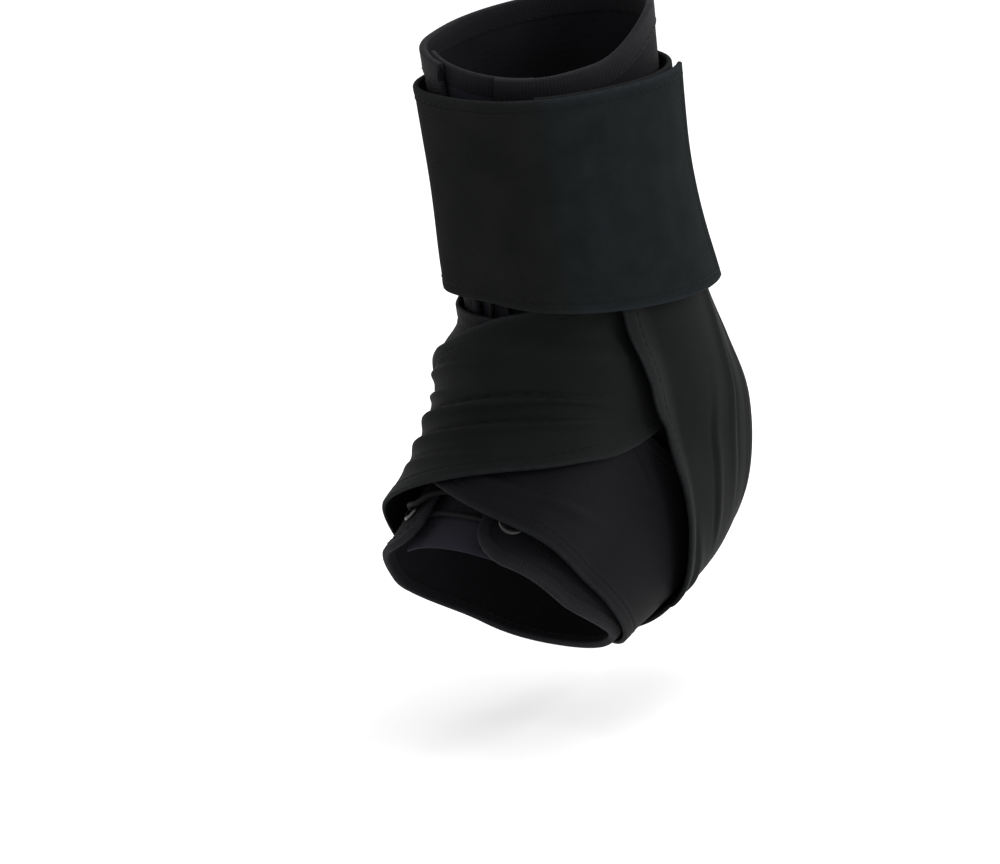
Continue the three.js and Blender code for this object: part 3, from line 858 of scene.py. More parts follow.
def circle(radius_x, radius_y, count):
    turns = np.radians(np.arange(count) * 360 / count)
    return [(radius_x * math.cos(t), radius_y * math.sin(t)) for t in turns]


def cut(piece, cutter):
    """Takes the cutter's shape out of the piece."""
    modifier = piece.modifiers.new("cut", "BOOLEAN")
    modifier.operation = "DIFFERENCE"
    modifier.object = cutter
    modifier.solver = "EXACT"
    bpy.context.view_layer.objects.active = piece
    bpy.ops.object.modifier_apply(modifier=modifier.name)


body = body_panel()
heel_back = skin(HEEL_STATION, 180)
HEEL_OUTLINE = circle(HEEL_HOLE[0] / 2, HEEL_HOLE[1] / 2, 64)
cutters = [
    prism(
        "heel_cutter",
        HEEL_OUTLINE,
        heel_back,
        np.array([0.0, 1.0, 0.0]),
        np.array([1.0, 0.0, 0.0]),
        60 * MM,
    )
]
for station in EYELET_STATIONS:
    for angle in (-EYELET_ANGLE, EYELET_ANGLE):
        along, round_it, out = directions(station, angle)
        centre = lifted(station, angle, (FLAP_UNDER + FLAP_TOP) / 2)
        side = unit(round_it)
        cutters.append(
            prism("eyelet_cutter", circle(BARREL_RADIUS, BARREL_RADIUS, 24), centre, out, side, 6 * MM)
        )
bm = bmesh.new()
for cutter in cutters:
    bm.from_mesh(cutter.data)
bmesh.ops.recalc_face_normals(bm, faces=bm.faces)
all_cutters = bpy.data.objects.new("cutters", bpy.data.meshes.new("cutters"))
bm.to_mesh(all_cutters.data)
bm.free()
bpy.context.scene.collection.objects.link(all_cutters)
cut(body, all_cutters)
for cutter in [*cutters, all_cutters]:
    bpy.data.objects.remove(cutter)
body.data.polygons.foreach_set("use_smooth", np.ones(len(body.data.polygons), bool))
body.data.set_sharp_from_angle(angle=math.radians(50))
print("body panel after cutting:", len(body.data.polygons), "faces")

# %% [markdown]
# ### Floor and light
# The object is dark, so it shows by soft light from all round: a key light stands at the outer
# side, a little behind the brace, so that raised edges throw their shadow forward. A weaker
# light at the inner front keeps the straps' edges apart, and a white surround fills the rest.
# The floor is plain and pale, and lies lower than the brace.

# %% Floor and light
FLOOR_Z = -34 * MM
FLOOR_RADIUS = 6.0
floor = link(
    "floor",
    [(x, y, FLOOR_Z) for x, y in circle(FLOOR_RADIUS, FLOOR_RADIUS, 64)],
    [tuple(range(64))],
    new_material("pale_floor", roughness=0.9, specular_ior_level=0.0)[0],
)
floor.data.materials[0].node_tree.nodes["Principled BSDF"].inputs["Base Color"].default_value = linear(
    "#fbfbfb"
)

LIGHTS = (
    # name, place, size, watts
    ("key", (1.25, 0.35, 0.75), 0.6, 12.5),
    ("fill", (-1.2, -0.7, 0.7), 1.0, 1.6),
    ("top", (0.1, 0.3, 1.6), 1.2, 5.0),
    ("rim", (0.5, 1.3, 0.7), 0.8, 5.0),
)
for name, place, size, watts in LIGHTS:
    data = bpy.data.lights.new(name, "AREA")
    data.size = size
    data.energy = watts
    lamp = bpy.data.objects.new(name, data)
    lamp.location = place
    lamp.rotation_euler = (Vector((0, 0, 0.09)) - Vector(place)).to_track_quat("-Z", "Y").to_euler()
    bpy.context.scene.collection.objects.link(lamp)

world = bpy.data.worlds.new("surround")
world.use_nodes = True
world.node_tree.nodes["Background"].inputs["Color"].default_value = (1, 1, 1, 1)
world.node_tree.nodes["Background"].inputs["Strength"].default_value = 1.05
bpy.context.scene.world = world
bpy.context.scene.view_settings.view_transform = "Standard"

# %% [markdown]
# ### Straps
# Both straps are wide bands. Each starts on the instep, crosses it, goes under the sole and
# comes up the other side. The route is a short list of places, and the band is laid by
# walking over the form from the middle line to each side, so that it keeps its real width.

# %% Strap routes
OUTER_STRAP_ROUTE = np.array([
    # station, angle, layers under it
    (6.30, 84, 0.2), (5.57, 58, 0.95), (4.63, 30, 1.4), (3.53, 0, 1.3), (2.65, -35, 1.1),
    (2.15, -75, 1), (2.00, -115, 1), (2.05, -150, 1), (2.22, -180, 1), (2.50, -212, 1),
    (3.02, -241, 1.2), (4.02, -260, 1.4), (5.10, -264, 1.4), (6.10, -262, 1.3),
    (7.00, -259, 1.0), (7.60, -257, 0.5),
])
INNER_STRAP_ROUTE = np.array([
    (4.85, -60, 0), (4.30, -42, 0.02), (3.92, -22, 0.1), (3.62, 2, 0.12), (2.58, 35, 0.15),
    (2.22, 75, 0.12), (2.13, 115, 0), (2.20, 150, 0), (2.35, 180, 0), (2.60, 212, 0),
    (3.15, 236, 0), (4.10, 252, 0), (5.10, 257, 0), (6.10, 257, 0), (7.00, 256, 0),
    (7.60, 255, 0),
])
OUTER_STRAP_WIDTH = 56
INNER_STRAP_WIDTH = 62
ROUTE_UNITS = np.array([STATION_MM, ANGLE_MM, 1.0])
WALK_STEPS = 6
OUTER_ROW_MM = 1.0
INNER_ROW_MM = 1.2
STRAP_COLUMN_MM = 0.8


def strap_middle(route, step_mm):
    """Even stops along a route: station, angle, layer and direction of travel."""
    knots = route * ROUTE_UNITS
    fine = smooth_line(knots, np.linspace(0, len(knots) - 1, 3000))
    travel = np.concatenate([[0], np.cumsum(np.linalg.norm(np.diff(fine, axis=0), axis=1))])
    count = int(travel[-1] / step_mm) + 1
    stops = np.linspace(0, travel[-1], count)
    middle = np.stack([np.interp(stops, travel, fine[:, k]) for k in range(3)], -1)
    heading = np.gradient(middle, axis=0)
    return middle / ROUTE_UNITS, heading / ROUTE_UNITS


def walk(station, angle, heading, distance):
    """Places reached over the form from other places, in a direction, after a distance."""
    station, angle, distance = np.broadcast_arrays(station, angle, distance)
    station, angle = station.copy(), angle.copy()
    heading = np.broadcast_to(heading, (*station.shape, 3)).copy()
    stride = distance / WALK_STEPS
    for _ in range(WALK_STEPS):
        along, round_it, out = directions(station, angle)
        heading = unit(heading - out * (heading * out).sum(-1, keepdims=True))
        aa = (along * along).sum(-1)
        ar = (along * round_it).sum(-1)
        rr = (round_it * round_it).sum(-1)
        da = (heading * along).sum(-1)
        dr = (heading * round_it).sum(-1)
        determinant = aa * rr - ar * ar
        station = station + stride * (da * rr - dr * ar) / determinant
        angle = angle + stride * (dr * aa - da * ar) / determinant
    return station, angle


def strap_band(route, width_mm, step_mm):
    """Places of a band: rows along it, columns across it, with their distances in mm."""
    middle, travel = strap_middle(route, step_mm)
    station, angle, layer = middle.T
    along, round_it, out = directions(station, angle)
    heading = unit(along * travel[:, :1] + round_it * travel[:, 1:2])
    across = np.cross(out, heading)
    stops = edge_stops(width_mm, STRAP_COLUMN_MM, FINE) - width_mm / 2
    place = walk(station[:, None], angle[:, None], across[:, None, :], stops[None, :] * MM)
    points = skin(station, angle)
    length = np.concatenate([[0], np.cumsum(np.linalg.norm(np.diff(points, axis=0), axis=1))])
    shape = place[0].shape
    return {
        "station": place[0],
        "angle": place[1],
        "layer": np.broadcast_to(layer[:, None], shape),
        "along": np.broadcast_to(length[:, None] / MM, shape),
        "across": np.broadcast_to(stops[None, :], shape),
    }


STRAP_HEM = 5.6
HEM_SEAM = FINE.index(4.5)


def strap_piece(name, band, width_mm, folds, cloth):
    """A strap laid on the layers below it. folds gives its extra height in mm."""
    edge = width_mm / 2 - np.abs(band["across"])
    end = np.minimum(band["along"], band["along"].max() - band["along"])
    rim = np.minimum(edge, end)
    seat = strap_seat(band["station"], band["angle"]) + band["layer"] * LAYER_PITCH
    soft = folds(band["along"], band["across"]) * MM
    middle = seat + STRAP_WALL / 2 + soft
    half = STRAP_WALL / 2 * rounding(rim, STRAP_WALL / MM)
    top = middle + half + hem(rim, STRAP_HEM, 0.35, 0.35) * MM * rounding(rim, STRAP_WALL / MM)
    over = lifted(band["station"], band["angle"], top)
    under = lifted(band["station"], band["angle"], middle - half)
    piece = sheet_piece(name, over, under, band["along"], band["across"], edge_wear(rim), cloth)
    out = directions(band["station"], band["angle"])[2]
    seams = [(over[:, k], out[:, k]) for k in (HEM_SEAM, -1 - HEM_SEAM)]
    return piece, stitches(f"{name}_stitches", seams)


# %% [markdown]
# ### Folds in the straps
# Cloth that is pulled round a bend creases where it turns: a sharp groove with a soft ridge
# beside it, deepest at one end and fading out at the other. Each crease is a line on the flat
# strap, with a length along it and a distance from its middle. Long shallow waves come on top,
# because no strap is pulled evenly. Grooves are at most about as deep as the air below a strap.
# The outer strap's front edge also rolls up where it rises over the heel, which makes the dark
# gap beside it. That roll is higher than its room under the cuff, and near the strap's end it
# comes through the cuff's inner turn, where the outer turn hides it.

# %% Creases and waves


def creases(along, across, table):
    """Height in mm of creases, each from a deep end to a faint end on the flat strap."""
    height = np.zeros(np.broadcast(along, across).shape)
    for start, end, ridge_mm, groove_mm, width in table:
        run = np.subtract(end, start)
        length = math.hypot(*run)
        share = ((along - start[0]) * run[0] + (across - start[1]) * run[1]) / length**2
        side = ((across - start[1]) * run[0] - (along - start[0]) * run[1]) / length
        fade = rise(share, -0.15, 0.12) * (1 - rise(share, 0.35, 1.0))
        groove = np.exp(-((side / (0.55 * width)) ** 2))
        swell = np.exp(-(((side + width) / width) ** 2))
        height = height + fade * (ridge_mm * swell - groove_mm * groove)
    return height


def waves(along, across, size_mm, height_mm, turn):
    """Shallow waves from three sines that never repeat together."""
    first = np.sin(along / size_mm * 6.0 + turn + 0.05 * across)
    second = np.sin((along * 0.62 + across * 0.9) / size_mm * 6.0 + 2.1 * turn)
    third = np.sin((across * 1.3 - along * 0.35) / size_mm * 6.0 + 0.7 * turn)
    return height_mm * (0.5 + (first + 0.7 * second + 0.5 * third) / 4.4)


OUTER_CREASES = (
    # deep end (along, across), faint end, ridge, groove, width, all in mm
    ((84, -5), (22, 7), 3.0, 1.4, 2.1),
    ((90, 4), (26, 16), 2.6, 1.3, 2.0),
    ((92, 13), (58, 20), 1.2, 0.8, 2.0),
    ((70, -24), (44, -14), 1.6, 1.0, 2.6),
    ((80, -17), (60, -6), 1.3, 0.8, 2.2),
    ((334, -15), (226, -13), 1.2, 0.8, 2.4),
    ((236, 4), (300, 0), 0.7, 0.5, 2.4),
    ((206, 12), (250, 20), 0.9, 0.7, 2.6),
)
INNER_CREASES = (
    ((62, -20), (102, -4), 0.9, 0.5, 2.6),
    ((80, 26), (118, 14), 0.9, 0.6, 2.4),
    ((146, -10), (114, -18), 0.6, 0.4, 3.0),
    ((232, 6), (280, 0), 0.8, 0.6, 2.6),
)


ROLL_HEIGHT = 4.6
ROLL_ACROSS = (17.0, 27.0)
ROLL_ALONG = (212, 250)
PUFF_HEIGHT = 1.0
PUFF_PLACE = (62, -25)
PUFF_SIZE = (12, 9)


def outer_folds(along, across):
    """Height in mm of the outer strap's waves, rolled front edge, puff and creases."""
    rolled = ROLL_HEIGHT * rise(across, *ROLL_ACROSS) * rise(along, *ROLL_ALONG)
    puff_along = (along - PUFF_PLACE[0]) / PUFF_SIZE[0]
    puff_across = (across - PUFF_PLACE[1]) / PUFF_SIZE[1]
    puffed = PUFF_HEIGHT * np.exp(-(puff_along**2) - puff_across**2)
    soft = waves(along, across, size_mm=58, height_mm=0.7, turn=0.4)
    return soft + rolled + puffed + creases(along, across, OUTER_CREASES)


def inner_folds(along, across):
    """Height in mm of the inner strap's waves and creases."""
    soft = waves(along, across, size_mm=64, height_mm=0.5, turn=1.9)
    return soft + creases(along, across, INNER_CREASES)


outer_band = strap_band(OUTER_STRAP_ROUTE, OUTER_STRAP_WIDTH, OUTER_ROW_MM)
inner_band = strap_band(INNER_STRAP_ROUTE, INNER_STRAP_WIDTH, INNER_ROW_MM)
outer_strap, outer_stitches = strap_piece(
    "outer_strap_cloth", outer_band, OUTER_STRAP_WIDTH, outer_folds, OUTER_TWILL
)
inner_strap, inner_stitches = strap_piece(
    "inner_strap_cloth", inner_band, INNER_STRAP_WIDTH, inner_folds, INNER_TWILL_BLUE_AND_SHADE
)

# %% [markdown]
# ### Cuff
# The cuff is a wide band of brushed loop cloth, wrapped once and a quarter round the top and
# closed on itself. It has a turned and sewn hem all round. Its outer end is faced with a second
# layer that is a little bluer, and an attribute named patch says where that facing lies.

# %% Cuff
CUFF_HEIGHT = 75.5 * MM
CUFF_TILT = 2.1 * MM
CUFF_TILT_ANGLE = 115
CUFF_DROP = 4.6 * MM
CUFF_DROP_ANGLE = 165
COLLAR_SHOWING = 11.3 * MM
CUFF_START_ANGLE = 35
CUFF_TURN = 450
CUFF_LAP = (330, 390)
CUFF_TOP = BRACE_HEIGHT - COLLAR_SHOWING
STACKS = (
    # angles over which it starts, angles over which it ends, layers low down, at the top
    ((0, 32), (152, 200), 2.3, 0.5),
    ((152, 200), (325, 358), 1.1, 0.5),
)
STACK_THINS = (6.9, 8.3)


def station_at(height, angle):
    """Stations where the form reaches a height, found by halving."""
    low = np.zeros(np.shape(angle))
    high = np.full(np.shape(angle), float(TOP_STATION))
    for _ in range(24):
        middle = (low + high) / 2
        below = skin(middle, angle)[..., 2] < height
        low = np.where(below, middle, low)
        high = np.where(below, high, middle)
    return (low + high) / 2


def cuff_under(station, angle):
    turned = np.mod(angle, 360)
    layers = 0
    for start, end, foot, top in STACKS:
        present = rise(turned, *start) * (1 - rise(turned, *end))
        layers = layers + present * mix(foot, top, rise(station, *STACK_THINS))
    lap = rise(angle, *CUFF_LAP) * (CUFF_WALL + STRAP_GAP)
    return strap_seat(station, angle) + layers * LAYER_PITCH + lap


CUFF_MEAN_RADIUS = 41
CUFF_LENGTH = CUFF_TURN * math.pi / 180 * CUFF_MEAN_RADIUS
CUFF_HEM = 4.8
CUFF_SEAM = FINE.index(3.7)
PANEL_STEP = 0.6
PANEL_EDGE = (256, 261)
TONE_BLUR = 3
CUFF_CREASES = (
    # deep end (along, across), faint end, ridge, groove, width, all in mm
    ((290, 20), (318, 24), 0.4, 0.3, 3.0),
    ((272, 52), (312, 47), 0.35, 0.25, 3.0),
    ((60, 10), (90, 50), 0.4, 0.3, 4.0),
)


def cuff_wrap():
    along = edge_stops(CUFF_LENGTH, 2.0, FINE)
    across = edge_stops(CUFF_HEIGHT / MM, 2.2, FINE)
    angle = CUFF_START_ANGLE + CUFF_TURN * along[:, None] / CUFF_LENGTH
    tilt = CUFF_TILT * np.cos(np.radians(angle - CUFF_TILT_ANGLE))
    drop = CUFF_DROP * np.cos(np.radians(angle - CUFF_DROP_ANGLE))
    from_top = 1 - across[None, :] * MM / CUFF_HEIGHT
    height = CUFF_TOP - tilt - (CUFF_HEIGHT + drop) * from_top
    angle, height = np.broadcast_arrays(angle, height)
    station = station_at(height, angle)
    along_mm, across_mm = np.broadcast_arrays(along[:, None], across[None, :])
    rim = np.minimum(
        np.minimum(across_mm, CUFF_HEIGHT / MM - across_mm),
        np.minimum(along_mm, CUFF_LENGTH - along_mm),
    )
    soft = waves(along_mm, across_mm, 70, 0.5, 0.9) + creases(along_mm, across_mm, CUFF_CREASES)
    soft = soft + PANEL_STEP * rise(along_mm, *PANEL_EDGE)
    middle = cuff_under(station, angle) + CUFF_WALL / 2 + soft * MM
    half = CUFF_WALL / 2 * rounding(rim, CUFF_WALL / MM)
    top = middle + half + hem(rim, CUFF_HEM, 0.3, 0.4) * MM * rounding(rim, CUFF_WALL / MM)
    over = lifted(station, angle, top)
    under = lifted(station, angle, middle - half)
    piece = sheet_piece("cuff_cloth", over, under, along_mm, across_mm, edge_wear(rim), LOOP)
    faced = piece.data.attributes.new("patch", "FLOAT", "POINT")
    patch = rise(along_mm, PANEL_EDGE[0] - TONE_BLUR, PANEL_EDGE[1] + TONE_BLUR).ravel()
    faced.data.foreach_set("value", np.tile(patch, 2).astype(np.float32))
    out = directions(station, angle)[2]
    seams = [(over[:, k], out[:, k]) for k in (CUFF_SEAM, -1 - CUFF_SEAM)]
    inside = slice(CUFF_SEAM, -CUFF_SEAM)
    seams += [(over[k, inside], out[k, inside]) for k in (CUFF_SEAM, -1 - CUFF_SEAM)]
    return piece, stitches("cuff_cloth_stitches", seams)


cuff, cuff_stitches = cuff_wrap()
print("cuff:", round(CUFF_LENGTH), "mm long")

# %% [markdown]
# ### Tapes on the edges of the body
# Laminated nylon frays where it is cut, so a folded tape is sewn over each edge: the collar,
# the two flaps, the toe edge and the heel hole. For each one the edge of the sheet is traced,
# with the direction into the cloth and the direction out of it, and the tape and its line of
# stitches follow that trace.

# %% Edges of the body


def body_edge(station, angle, hand):
    """Trace of an edge in mid wall: its points, the way into the cloth and the way out of it.

    hand is 1 where the cloth lies to the left of the trace as seen from outside, or else -1.
    """
    station, angle = np.broadcast_arrays(station, angle)
    edge = lifted(station, angle, body_under(station, angle) + BODY_WALL / 2)
    forward = unit(np.gradient(edge, axis=0))
    out = directions(station, angle)[2]
    inward = unit(np.cross(out, forward)) * hand
    return edge, inward, unit(np.cross(forward, inward)) * hand


def bound_edge(name, trace, leg_mm, half_mm, past_mm, both_sides, closed=False):
    """A tape folded over a traced edge, past_mm beyond it, with its stitches."""
    edge, inward, outward = trace
    fold = edge - inward * past_mm * MM
    half = half_mm * MM
    section = tape_section(leg_mm * MM, half, 0.9 * MM, TAPE_WALL, (past_mm - 0.2) * MM)
    tape = tape_piece(name, fold, inward, outward, section, closed)
    line = fold + inward * (leg_mm - 0.9) * MM
    seams = [(line + outward * half, outward)]
    if both_sides:
        seams.append((line - outward * half, -outward))
    return tape, stitches(f"{name}_stitches", seams)


# %% Collar and front tapes
COLLAR_PAST = 3.0
collar_angles = np.linspace(LACING_GAP_ANGLE, 360 - LACING_GAP_ANGLE, 220)
collar_tape, collar_stitches = bound_edge(
    "collar_tape",
    body_edge(collar_edge(collar_angles), collar_angles, -1),
    leg_mm=COLLAR_PAST + 5.0,
    half_mm=1.35,
    past_mm=COLLAR_PAST,
    both_sides=True,
)


def front_half(flap_top):
    """Distances from the flap's edge and from the toe edge, from a flap's top to mid sole."""
    turns = np.radians(np.linspace(0, 90, 14))
    flap = np.linspace(flap_top, CORNER_MM, 160)[:-1]
    toe = np.linspace(CORNER_MM, BODY_WIDTH_MM / 2, 110)[1:]
    from_side = np.concatenate([0 * flap, CORNER_MM * (1 - np.cos(turns)), toe])
    from_end = np.concatenate([flap, CORNER_MM * (1 - np.sin(turns)), 0 * toe])
    return from_side, from_end


def front_trace():
    """Down the outer flap, round the toe edge and up the inner flap."""
    halves = []
    for edge_angle in (LACING_GAP_ANGLE, 360 - LACING_GAP_ANGLE):
        length = float(collar_edge(edge_angle) - toe_edge(edge_angle)) * STATION_MM
        halves.append(front_half(length - 1.5))
    from_side = np.concatenate([halves[0][0], (BODY_WIDTH_MM - halves[1][0])[::-1][1:]])
    from_end = np.concatenate([halves[0][1], halves[1][1][::-1][1:]])
    angle = LACING_GAP_ANGLE + from_side / ANGLE_MM
    return toe_edge(angle) + from_end / STATION_MM, angle


front_tape, front_stitches = bound_edge(
    "front_tape",
    body_edge(*front_trace(), 1),
    leg_mm=4.4,
    half_mm=1.3,
    past_mm=0.5,
    both_sides=True,
)

# %% [markdown]
# ### Tape round the heel hole
# The hole is an oval cut straight through from behind, so its edge is known from the side and
# not on the form. The places on the form are found by a few steps of Newton's method.

# %% Heel tape


def place_behind(x, z):
    """Places on the back of the form with these x and z, from a first guess at the heel."""
    station = np.full(len(x), HEEL_STATION)
    angle = np.full(len(x), 180.0)
    for _ in range(30):
        lift = body_under(station, angle) + BODY_WALL / 2
        here = lifted(station, angle, lift)
        along, round_it, _ = directions(station, angle)
        miss_x, miss_z = x - here[:, 0], z - here[:, 2]
        determinant = along[:, 0] * round_it[:, 2] - along[:, 2] * round_it[:, 0]
        station = station + (miss_x * round_it[:, 2] - miss_z * round_it[:, 0]) / determinant
        angle = angle + (miss_z * along[:, 0] - miss_x * along[:, 2]) / determinant
    return station, angle


hole_ring = np.array(circle(HEEL_HOLE[0] / 2, HEEL_HOLE[1] / 2, 120))
heel_tape, heel_stitches = bound_edge(
    "heel_tape",
    body_edge(*place_behind(hole_ring[:, 0], hole_ring[:, 1] + heel_back[2]), 1),
    leg_mm=5.0,
    half_mm=1.4,
    past_mm=0.5,
    both_sides=False,
    closed=True,
)

# %% [markdown]
# ### Seam of the lacing stay
# A stay of doubled cloth carries the eyelets. Its seam is a double line of stitches that runs
# from the flap's edge past the first eyelet, down to the toe edge at the sole.

# %% Stay seam
STAY_ROUTE = np.array([(2.2, 41), (1.6, 41), (1.2, 42), (0.96, 47), (0.82, 58), (0.78, 72), (0.80, 88)])
STAY_OFFSETS = (-0.035, 0.045)


def stay_seams():
    """Two lines of stitches, at each side."""
    middle = smooth_line(STAY_ROUTE, np.linspace(0, len(STAY_ROUTE) - 1, 120))
    seams = []
    for hand in (1, -1):
        for offset in STAY_OFFSETS:
            station, angle = middle[:, 0] + offset, middle[:, 1] * hand
            top = body_under(station, angle) + BODY_WALL
            seams.append((lifted(station, angle, top), directions(station, angle)[2]))
    return seams


stay_stitches = stitches("stay_stitches", stay_seams())

# %% [markdown]
# ### Eyelets
# An eyelet is a brass tube with a flange, pushed through the cloth and rolled over. Its
# section is turned about the hole's axis, with a round lip at the hole that takes the glint.

# %% Eyelets
EYELET_HOLE = 5.1 * MM
EYELET_BARREL = 0.6 * MM
EYELET_FLANGE = 1.4 * MM
EYELET_SIDES = 40


def eyelet_section():
    """Radius and height of the section, from the barrel's lower end over the lip and back."""
    inner = EYELET_HOLE / 2
    barrel = inner + EYELET_BARREL
    flange = barrel + EYELET_FLANGE
    plate = FLAP_TOP + SEAT_GAP
    lip = [
        (inner + 0.5 * MM * (1 - math.cos(t)), EYELET_TOP - 0.5 * MM + 0.5 * MM * math.sin(t))
        for t in np.radians(np.linspace(0, 90, 6))
    ]
    slope = [(flange - 0.7 * MM, EYELET_TOP - 0.12 * MM), (flange - 0.2 * MM, EYELET_TOP - 0.4 * MM)]
    return [
        (inner, FLAP_UNDER),
        *lip,
        *slope,
        (flange, plate + 0.05 * MM),
        (flange - 0.1 * MM, plate),
        (barrel, plate),
        (barrel, FLAP_UNDER),
    ]


def eyelet_piece(name, station, angle):
    along, round_it, out = directions(station, angle)
    side = unit(round_it)
    ahead = np.cross(out, side)
    section = eyelet_section()
    count = len(section)
    foot = skin(station, angle)
    vertices, faces = [], []
    for step in range(EYELET_SIDES):
        turn = math.radians(step * 360 / EYELET_SIDES)
        spoke = side * math.cos(turn) + ahead * math.sin(turn)
        vertices += [foot + spoke * radius + out * height for radius, height in section]
        after = (step + 1) % EYELET_SIDES
        for k in range(count):
            last = (k + 1) % count
            faces.append((step * count + k, step * count + last, after * count + last, after * count + k))
    piece = link(name, vertices, faces, LACQUER, smooth_angle=40)
    outwards(piece)
    return piece


eyelets = []
for number, station in enumerate(EYELET_STATIONS, start=1):
    for side_name, angle in (("outer", EYELET_ANGLE), ("inner", -EYELET_ANGLE)):
        node = f"eyelet_{side_name}_{number}"
        eyelets.append((eyelet_piece(f"{node}_ring", station, angle), node))
print("eyelets:", len(eyelets))

# %% [markdown]
# ### Lace
# The lace crosses from flap to flap like any shoelace: under a flap, up through its eyelet,
# over to the other side and down again. Its route is a list of stops with an angle and a
# climb, which is 0 under the flaps and 1 over the eyelets. A smooth curve goes through them,
# and a round braid with ten sides is swept along it.

# %% Lace route
THROUGH_EYELET = (
    # angle from the eyelet towards the shin, climb
    (9, 0), (4, 0), (1.2, 0.125), (0, 0.39), (1.2, 0.875), (4, 1), (9, 1),
)
CROSSING = (
    # share of the way up, side left -1 or reached 1, climb of the upper and the lower strand
    (0.25, -1, 0.94, 0.94), (0.50, 0, 0.69, 0.25), (0.75, 1, 0.02, 0.02),
)
CROSSING_ANGLE = 12
BAR_ANGLES = (-12, -4, 4, 12)
LACE_END = (
    # stations past the last eyelet, angle, climb
    (0.35, 13, 0.69), (0.70, 8, 0.03), (1.20, 5, 0), (1.80, 5, 0),
)


def strand(side):
    """Stops of one half of the lace: station, angle and climb."""
    stops = []
    hand = side
    for index, station in enumerate(EYELET_STATIONS):
        if index > 0:
            below = EYELET_STATIONS[index - 1]
            for up, toward, above, under in CROSSING:
                climb = above if side > 0 else under
                stops.append((mix(below, station, up), hand * toward * CROSSING_ANGLE, climb))
        for inward, climb in THROUGH_EYELET:
            stops.append((station, hand * (EYELET_ANGLE - inward), climb))
        hand = -hand
    for beyond, angle, climb in LACE_END:
        stops.append((EYELET_STATIONS[-1] + beyond, -hand * angle, climb))
    return stops


def centripetal(points, per_span):
    """Centripetal Catmull-Rom curve through points, as many short spans."""
    ends = np.concatenate([2 * points[:1] - points[1:2], points, 2 * points[-1:] - points[-2:-1]])
    line = []
    for k in range(len(points) - 1):
        a, b, c, d = ends[k : k + 4]
        ab, bc, cd = (max(1e-5, math.sqrt(np.linalg.norm(q - p))) for p, q in ((a, b), (b, c), (c, d)))
        into = ((b - a) / ab - (c - a) / (ab + bc) + (c - b) / bc) * bc
        away = ((c - b) / bc - (d - b) / (bc + cd) + (d - c) / cd) * bc
        for t in np.arange(per_span) / per_span:
            square, cube = t * t, t**3
            line.append(
                (2 * cube - 3 * square + 1) * b
                + (cube - 2 * square + t) * into
                + (3 * square - 2 * cube) * c
                + (cube - square) * away
            )
    return np.array([*line, points[-1]])


# %% Lace braid


def swept_cord(name, line, radius, material, sides=10):
    """A round cord along a line, with the way along and round it as its UV map in mm."""
    tangent = unit(np.gradient(line, axis=0))
    side = unit(np.cross(tangent[0], (0.31, 0.22, 0.93)))
    vertices, faces = [], []
    turns = np.radians(np.arange(sides) * 360 / sides)
    for point, forward in zip(line, tangent):
        side = unit(side - forward * (side @ forward))
        up = np.cross(forward, side)
        vertices += [point + radius * (side * math.cos(t) + up * math.sin(t)) for t in turns]
    for row in range(len(line) - 1):
        for k in range(sides):
            a, b = row * sides + k, row * sides + (k + 1) % sides
            faces.append((a, b, b + sides, a + sides))
    last = (len(line) - 1) * sides
    faces.append(tuple(range(sides))[::-1])
    faces.append(tuple(last + k for k in range(sides)))
    piece = link(name, vertices, faces, material)
    outwards(piece)
    mesh = piece.data
    travel = np.concatenate([[0], np.cumsum(np.linalg.norm(np.diff(line, axis=0), axis=1))]) / MM
    girth = np.arange(sides) * 2 * math.pi * radius / MM / sides
    flat = np.stack(np.broadcast_arrays(travel[:, None], girth[None, :]), -1).reshape(-1, 2)
    lay_flat(mesh, flat, np.zeros(len(flat)))
    return piece


lace_stops = [
    *strand(-1)[::-1],
    *((EYELET_STATIONS[0], angle, 0) for angle in BAR_ANGLES),
    *strand(1),
]
stop_station, stop_angle, stop_climb = np.array(lace_stops, float).T
lace_points = lifted(stop_station, stop_angle, mix(LACE_UNDER, LACE_OVER, stop_climb))
lace_line = centripetal(lace_points, 5)
lace = swept_cord("lace_braid", lace_line, LACE_THICKNESS / 2, BRAID)
lace_length = np.linalg.norm(np.diff(lace_line, axis=0), axis=1).sum()
print("lace:", len(lace.data.polygons), "faces,", round(float(lace_length) / MM), "mm long")

# %% [markdown]
# ### Tongue
# The tongue is thin foam between two layers of knit, sewn round its rim and along an arch near
# the toe edge. Foam swells between seams, and a cloth simulation finds that form: the seams are
# pinned, and a light pressure blows the rest up. The foam is thin, so it rises by less than
# half a millimetre. No point may travel further than a cap, which is a guard for the lace
# above it if the pressure is changed.

# %% Tongue pad, slack
TONGUE_ANGLE = 36
TONGUE_TOE_STATION = 0.65
TONGUE_HALF_WIDTH = TONGUE_ANGLE * ANGLE_MM
TONGUE_SLACK = 0.5 * MM
TONGUE_RIM = 3.0
ARCH_HALF = 13.0
ARCH_TOP = 17.0
SEAM_WIDTH = 1.1


def arch_distance(up_mm, across_mm):
    """Distance in mm from the sewn arch near the toe edge."""
    centre = ARCH_TOP - ARCH_HALF
    round_part = np.abs(np.hypot(across_mm, up_mm - centre) - ARCH_HALF)
    leg_part = np.abs(np.abs(across_mm) - ARCH_HALF)
    return np.where(up_mm > centre, round_part, leg_part)


